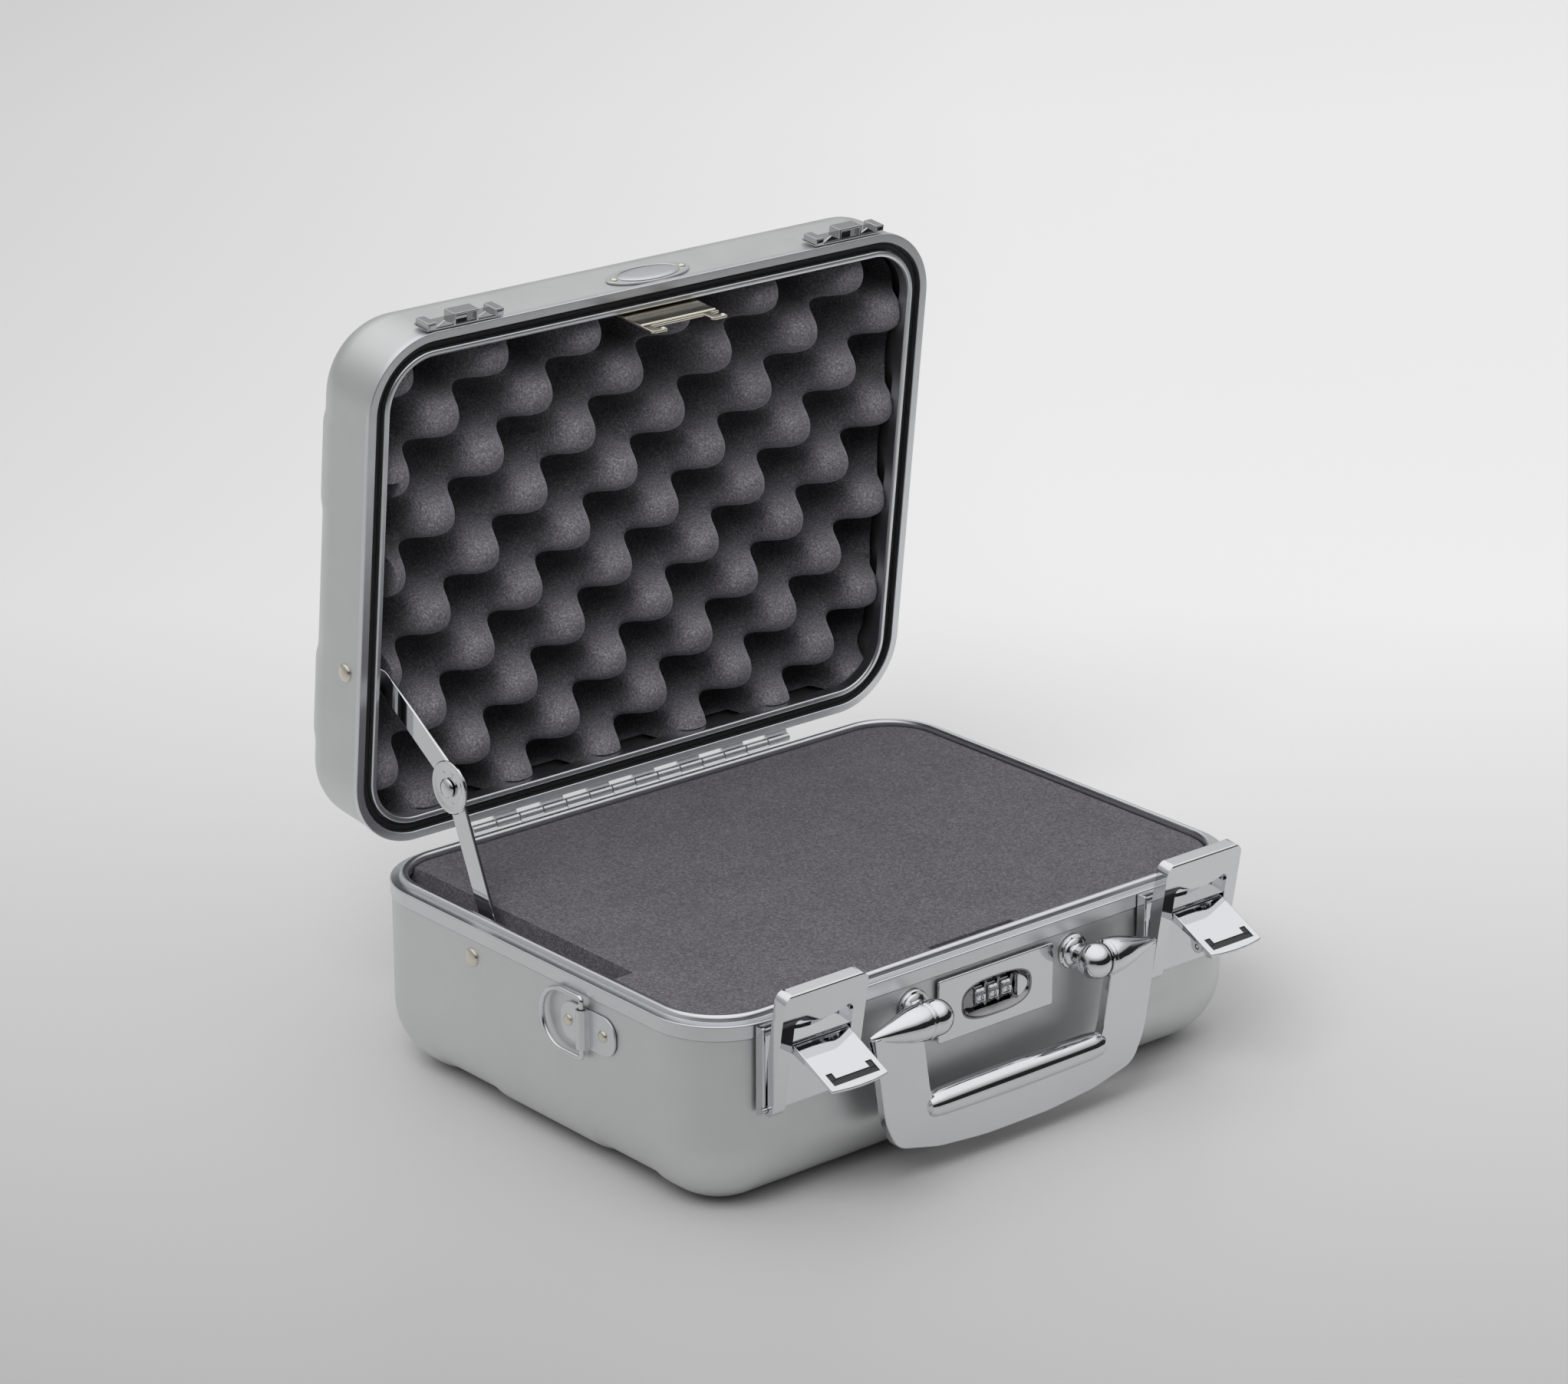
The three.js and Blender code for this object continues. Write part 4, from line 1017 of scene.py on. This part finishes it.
def handle_post(side, word):
    x = side * BALL_X
    ball = sphere(f"handle_post_{word}_ball", BALL_R, (x, HY, HZ), 48)
    stem = revolved(
        "stem",
        [(17.5, 3.0), (17.4, 8.0), (16.0, 8.0), (15.95, 9.0), (14.9, 9.0), (14.3, 8.5), (14.1, 7.4),
         (13.2, 7.0), (12.6, 6.2), (12.0, 5.0), (10.8, 4.4), (7.0, 4.3), (0.0, 4.2)],
        (x, HY, HZ), "y", 48,
    )
    merge(ball, stem, rod("stub", "x", 3.0, (x, x + side * 17), (HY, HZ), 0.3))
    piece(ball, "base", CHROME, [f"handle_post_{word}"], angle=28)


handle_post(-1, "left")
handle_post(1, "right")


def handle():
    right = [(91.5, 0), (84.5, -45), (77, -60), (50, -66.5), (20, -69.2)]
    points = [(-u, v) for u, v in right] + right[::-1]
    points += [(62, 0), (56.6, -34), (53.5, -43), (-53.5, -43), (-56.6, -34), (-62, 0)]
    radii = [1.0, 40, 13, 60, 150, 150, 60, 13, 40, 1.0, 1.0, 20, 3, 3, 20, 1.0]
    outline = rounded(points, radii, 8)
    body = plate("handle_bail", [(u, HZ + v) for u, v in outline], HY - 2.6, HY + 2.6, xz, 0.7, 3)
    profile = [
        (56.6, 0), (56.6, 8.7), (57.1, 9.3), (59.0, 9.45), (59.5, 9.2), (59.8, 8.9), (60.4, 9.1),
        (63, 9.15), (66, 8.8), (70, 8.0), (75, 6.6), (81, 4.8), (87, 3.0), (91.3, 1.6), (92.6, 0.9),
        (93, 0),
    ]
    parts = [
        revolved("horn", [(s * a, r) for a, r in profile], (0, HY, HZ), "x", 56) for s in (-1, 1)
    ]
    grip_profile = [(-58.5, 0.0), (-58.2, 2.4), (-56.8, 4.8), (-54, 6.2), (-48, 6.8), (-30, 7.2), (0, 7.4)]
    grip_profile += [(-a, r) for a, r in grip_profile[-2::-1]]
    parts.append(revolved("grip", grip_profile, (0, HY, HZ - 44.5), "x", 56))
    for part in parts:
        weld(body, part)
    for s in (-1, 1):
        cut(body, sphere("socket", BALL_R + 0.35, (s * BALL_X, HY, HZ), 48))
        cut(body, rod("bore", "x", 3.4, (s * 50, s * 70), (HY, HZ)))
    piece(body, "carrying_handle", CHROME, ["handle"], angle=30)


handle()

# ---- Combination lock ----
DIAL_Y, DIAL_Z = -130.3, 73.4


def bowl(name, layers):
    rings = []
    for y, a, b in layers:
        rings.append([(u, y, DIAL_Z + v) for u, v in superellipse(a, b)])
    return lofted(name, rings)


lock = plate("lock_face", rect(-37.3, 37.3, 57.4, 89.8, 1.4), -137.0, -135.4, xz, 0.6, 4)
cut(lock, bowl("hole", [(-140, 22.9, 10.3), (-130, 22.9, 10.3)]))
piece(lock, "base", CHROME, ["lock_plate"], angle=30)
dish = bowl("lock_dish", [(-136.9, 22.8, 10.2), (-134.0, 22.8, 10.2), (-132.2, 22.4, 9.8)])
cut(
    dish,
    bowl("hollow", [(-140, 22.4, 9.9), (-136.8, 22.1, 9.6), (-135.8, 21.6, 9.0), (-134.8, 20.6, 8.0),
                    (-134.0, 19.2, 6.8), (-133.6, 17.4, 5.4), (-133.4, 15.0, 3.4)]),
)
for k in (-1, 0, 1):
    middle = k * DIAL_PITCH
    cut(dish, box("slot", (middle - 3.4, middle + 3.4), (-142, -130), (DIAL_Z - 6.6, DIAL_Z + 6.6)))
cut(dish, box("slit", (13.2, 20), (-142, -130), (DIAL_Z - 1.3, DIAL_Z + 1.3)))
# the dish's chrome is painted dark, as painted shade for its shadowed recess
piece(dish, "base", DISH_CHROME_PAINTED_DARK, [], angle=40)
keep("lock_body", BLACK)
keep("lock_axle", BRIGHT)


def number_wheel(n):
    x = (n - 2) * DIAL_PITCH
    sides = 180
    rings = []
    for along, inset in ((-3, 0.7), (-2.5, 0.15), (-2.3, 0), (2.3, 0), (2.5, 0.15), (3, 0.7)):
        ring = []
        for k in range(sides):
            turn = 360 * k / sides
            off = (turn + 18) % 36 - 18
            groove = 0.5 if abs(abs(off) - 15) < 1.6 else 0.0
            pad = 0.12 if abs(off) < 12 and abs(along) < 2.6 else 0.0
            r = DIAL_R - inset - groove + pad - 0.24
            a = math.radians(turn)
            ring.append((x + along, DIAL_Y - r * math.cos(a), DIAL_Z + r * math.sin(a)))
        rings.append(ring)
    wheel = lofted(f"dial_{n}_drum", rings)
    cut(wheel, rod("bore", "x", 1.6, (x - 5, x + 5), (DIAL_Y, DIAL_Z)))
    piece(wheel, f"dial_{n}", CHROME, [f"number_wheel_{n}"])
    verts, faces = [], []
    for digit in range(10):
        curve = bpy.data.curves.new("digit", "FONT")
        curve.body, curve.size, curve.align_x, curve.align_y = str(digit), 3.3, "CENTER", "CENTER"
        curve.extrude = 0.05
        text = bpy.data.objects.new("digit", curve)
        bpy.context.scene.collection.objects.link(text)
        mesh = bpy.data.meshes.new_from_object(text.evaluated_get(bpy.context.evaluated_depsgraph_get()))
        start = len(verts)
        for v in mesh.vertices:
            a = math.radians(36 * digit) + v.co.y / DIAL_R
            r = DIAL_R - 0.08 + v.co.z
            verts.append((x + v.co.x * 1.1, DIAL_Y - r * math.cos(a), DIAL_Z + r * math.sin(a)))
        faces += [tuple(start + i for i in f.vertices) for f in mesh.polygons]
        bpy.data.objects.remove(text)
    piece(new_object(f"dial_{n}_digits", verts, faces), f"dial_{n}", BLACK)


for number in (1, 2, 3):
    number_wheel(number)

arc = [math.radians(a) for a in range(-42, 43, 6)]
leaf = [(20.9 * math.cos(a), DIAL_Z + 8.6 * math.sin(a)) for a in arc]
leaf = rounded([(14.2, DIAL_Z - 5.2)] + leaf + [(14.2, DIAL_Z + 5.2)], 0.6, 3)
slide = plate("lock_slide_button", leaf, -136.5, -133.8, xz, 0.55, 4)
merge(slide, box("stem", (16.6, 18.4), (-134.4, -128), (DIAL_Z - 0.9, DIAL_Z + 0.9)))
piece(slide, "lock_slide_body", CHROME, ["lock_slide"])

keeper = box("keeper_plate", (-26, 22), (-121.4, -119.9), (83, 109), 0.5, 3)
for x0 in (-26.0, 12.0):
    arm = rounded([(x0, 85), (x0, 76), (x0 + 10, 76), (x0 + 10, 79.4), (x0 + 5, 79.6), (x0 + 5, 85)],
                  [0.7, 2.2, 1.2, 1.2, 1.6, 0.7], 6)
    merge(keeper, plate("arm", arm, -121.4, -119.9, xz, 0.45, 3))
    merge(keeper, dome("stud", (x0 + 8, 0, 77.7), "y", 1.4, -0.7, -121.3))
merge(keeper, rod("fold", "x", 1.0, (-25.6, 21.6), (-120.9, 86.0), 0.3))
piece(keeper, "lid", NICKEL, ["lock_keeper"], LID_OPEN)

# ---- Badge: a blank plaque with a raised rim, held by two pins ----
BZ = 113.5
plaque = plate("badge_plaque", ellipse(25.5, 10, 0, BZ, 96), -135.5, -134.4, xz, 0.4, 3)
rim_path = [(u, -135.6, v) for u, v in ellipse(18.6, 8.4, 0, BZ, 96)]
merge(plaque, tube("rim", rim_path, 0.5, 10, True))
rings = []
for h, scale in ((-0.3, 1.0), (-0.55, 0.9), (-0.68, 0.7), (-0.75, 0.4), (-0.78, 0.01)):
    rings.append([(u, -135.3 + h, v) for u, v in ellipse(17.6 * scale, 7.4 * scale, 0, BZ, 96)])
merge(plaque, lofted("crown", rings))
piece(plaque, "lid", BRIGHT, ["badge"], LID_OPEN)
for x, word in ((-21.5, "left"), (21.5, "right")):
    head = dome(f"badge_pin_{word}_head", (x, 0, BZ), "y", 2.0, -1.1, -135.5)
    piece(head, "lid", NICKEL, [f"badge_pin_{word}"], LID_OPEN)

# ---- Strap rings ----
def strap_ring(side, word):
    x0, yb, zc = 180.6, -45.5, 76.0
    corner, legs, bow = 2.0, 15.0, 15.5

    def bend(cy, cz, r, start, turn, steps):
        angles = [start + turn * t / steps for t in range(steps + 1)]
        return [(cy + r * math.cos(a), cz + r * math.sin(a)) for a in angles]

    straight = [yb + corner + (legs - corner) * t / 5 for t in range(1, 5)]
    path = bend(yb + corner, zc - bow + corner, corner, math.pi, math.pi / 2, 6)
    path += [(y, zc - bow) for y in straight]
    path += bend(yb + legs, zc, bow, -math.pi / 2, math.pi, 24)
    path += [(y, zc + bow) for y in reversed(straight)]
    path += bend(yb + corner, zc + bow - corner, corner, math.pi / 2, math.pi / 2, 6)
    path += [(yb, zc + 13.5 - 27 * t / 8) for t in range(1, 8)]
    wire = tube(f"strap_ring_{word}_wire", [(side * x0, y, z) for y, z in path], 1.35, 20, True)
    piece(wire, f"ring_{word}", CHROME, [f"strap_ring_{word}"], angle=60)

    outline = rounded([(-68, 66), (-27, 66), (-27, 86), (-68, 86)], [9, 9, 9, 9], 10)

    def on_side(u, v, h):
        return (side * h, u, v)

    flat = plate(f"ring_plate_{word}_strap", outline, 177.5, 178.7, on_side, 0.35, 3)
    sides = [(side * 177.6, yb - 3.9), (side * 178.8, yb - 3.5)]
    hump = []
    for k in range(13):
        a = math.pi * k / 12
        hump.append((side * (x0 - 0.2 + 3.1 * math.sin(a) * 0.95), yb - 3.1 * math.cos(a)))
    outer = sides + hump + [(side * 178.8, yb + 3.5), (side * 177.6, yb + 3.9)]
    channel = plate("channel", rounded(outer, 0.25, 2), 66.0, 86.0, xy, 0.2, 2)
    cut(channel, rod("bore", "z", 2.05, (60, 92), (side * x0, yb)))
    merge(flat, channel)
    piece(flat, "base", BRIGHT, [f"ring_plate_{word}"], angle=30)
    for y, place in ((-33.0, "back"), (-59.0, "front")):
        head = dome(f"ring_rivet_{word}_{place}_head", (0, y, zc), "x", 3.0, side * 1.3, side * 178.8)
        merge(head, rod("shank", "x", 1.5, (side * 175, side * 179), (y, zc)))
        merge(head, dome("tail", (0, y, zc), "x", 2.7, -side * 0.8, side * 175.2))
        piece(head, "base", NICKEL, [f"ring_rivet_{word}_{place}"])


strap_ring(-1, "left")
strap_ring(1, "right")
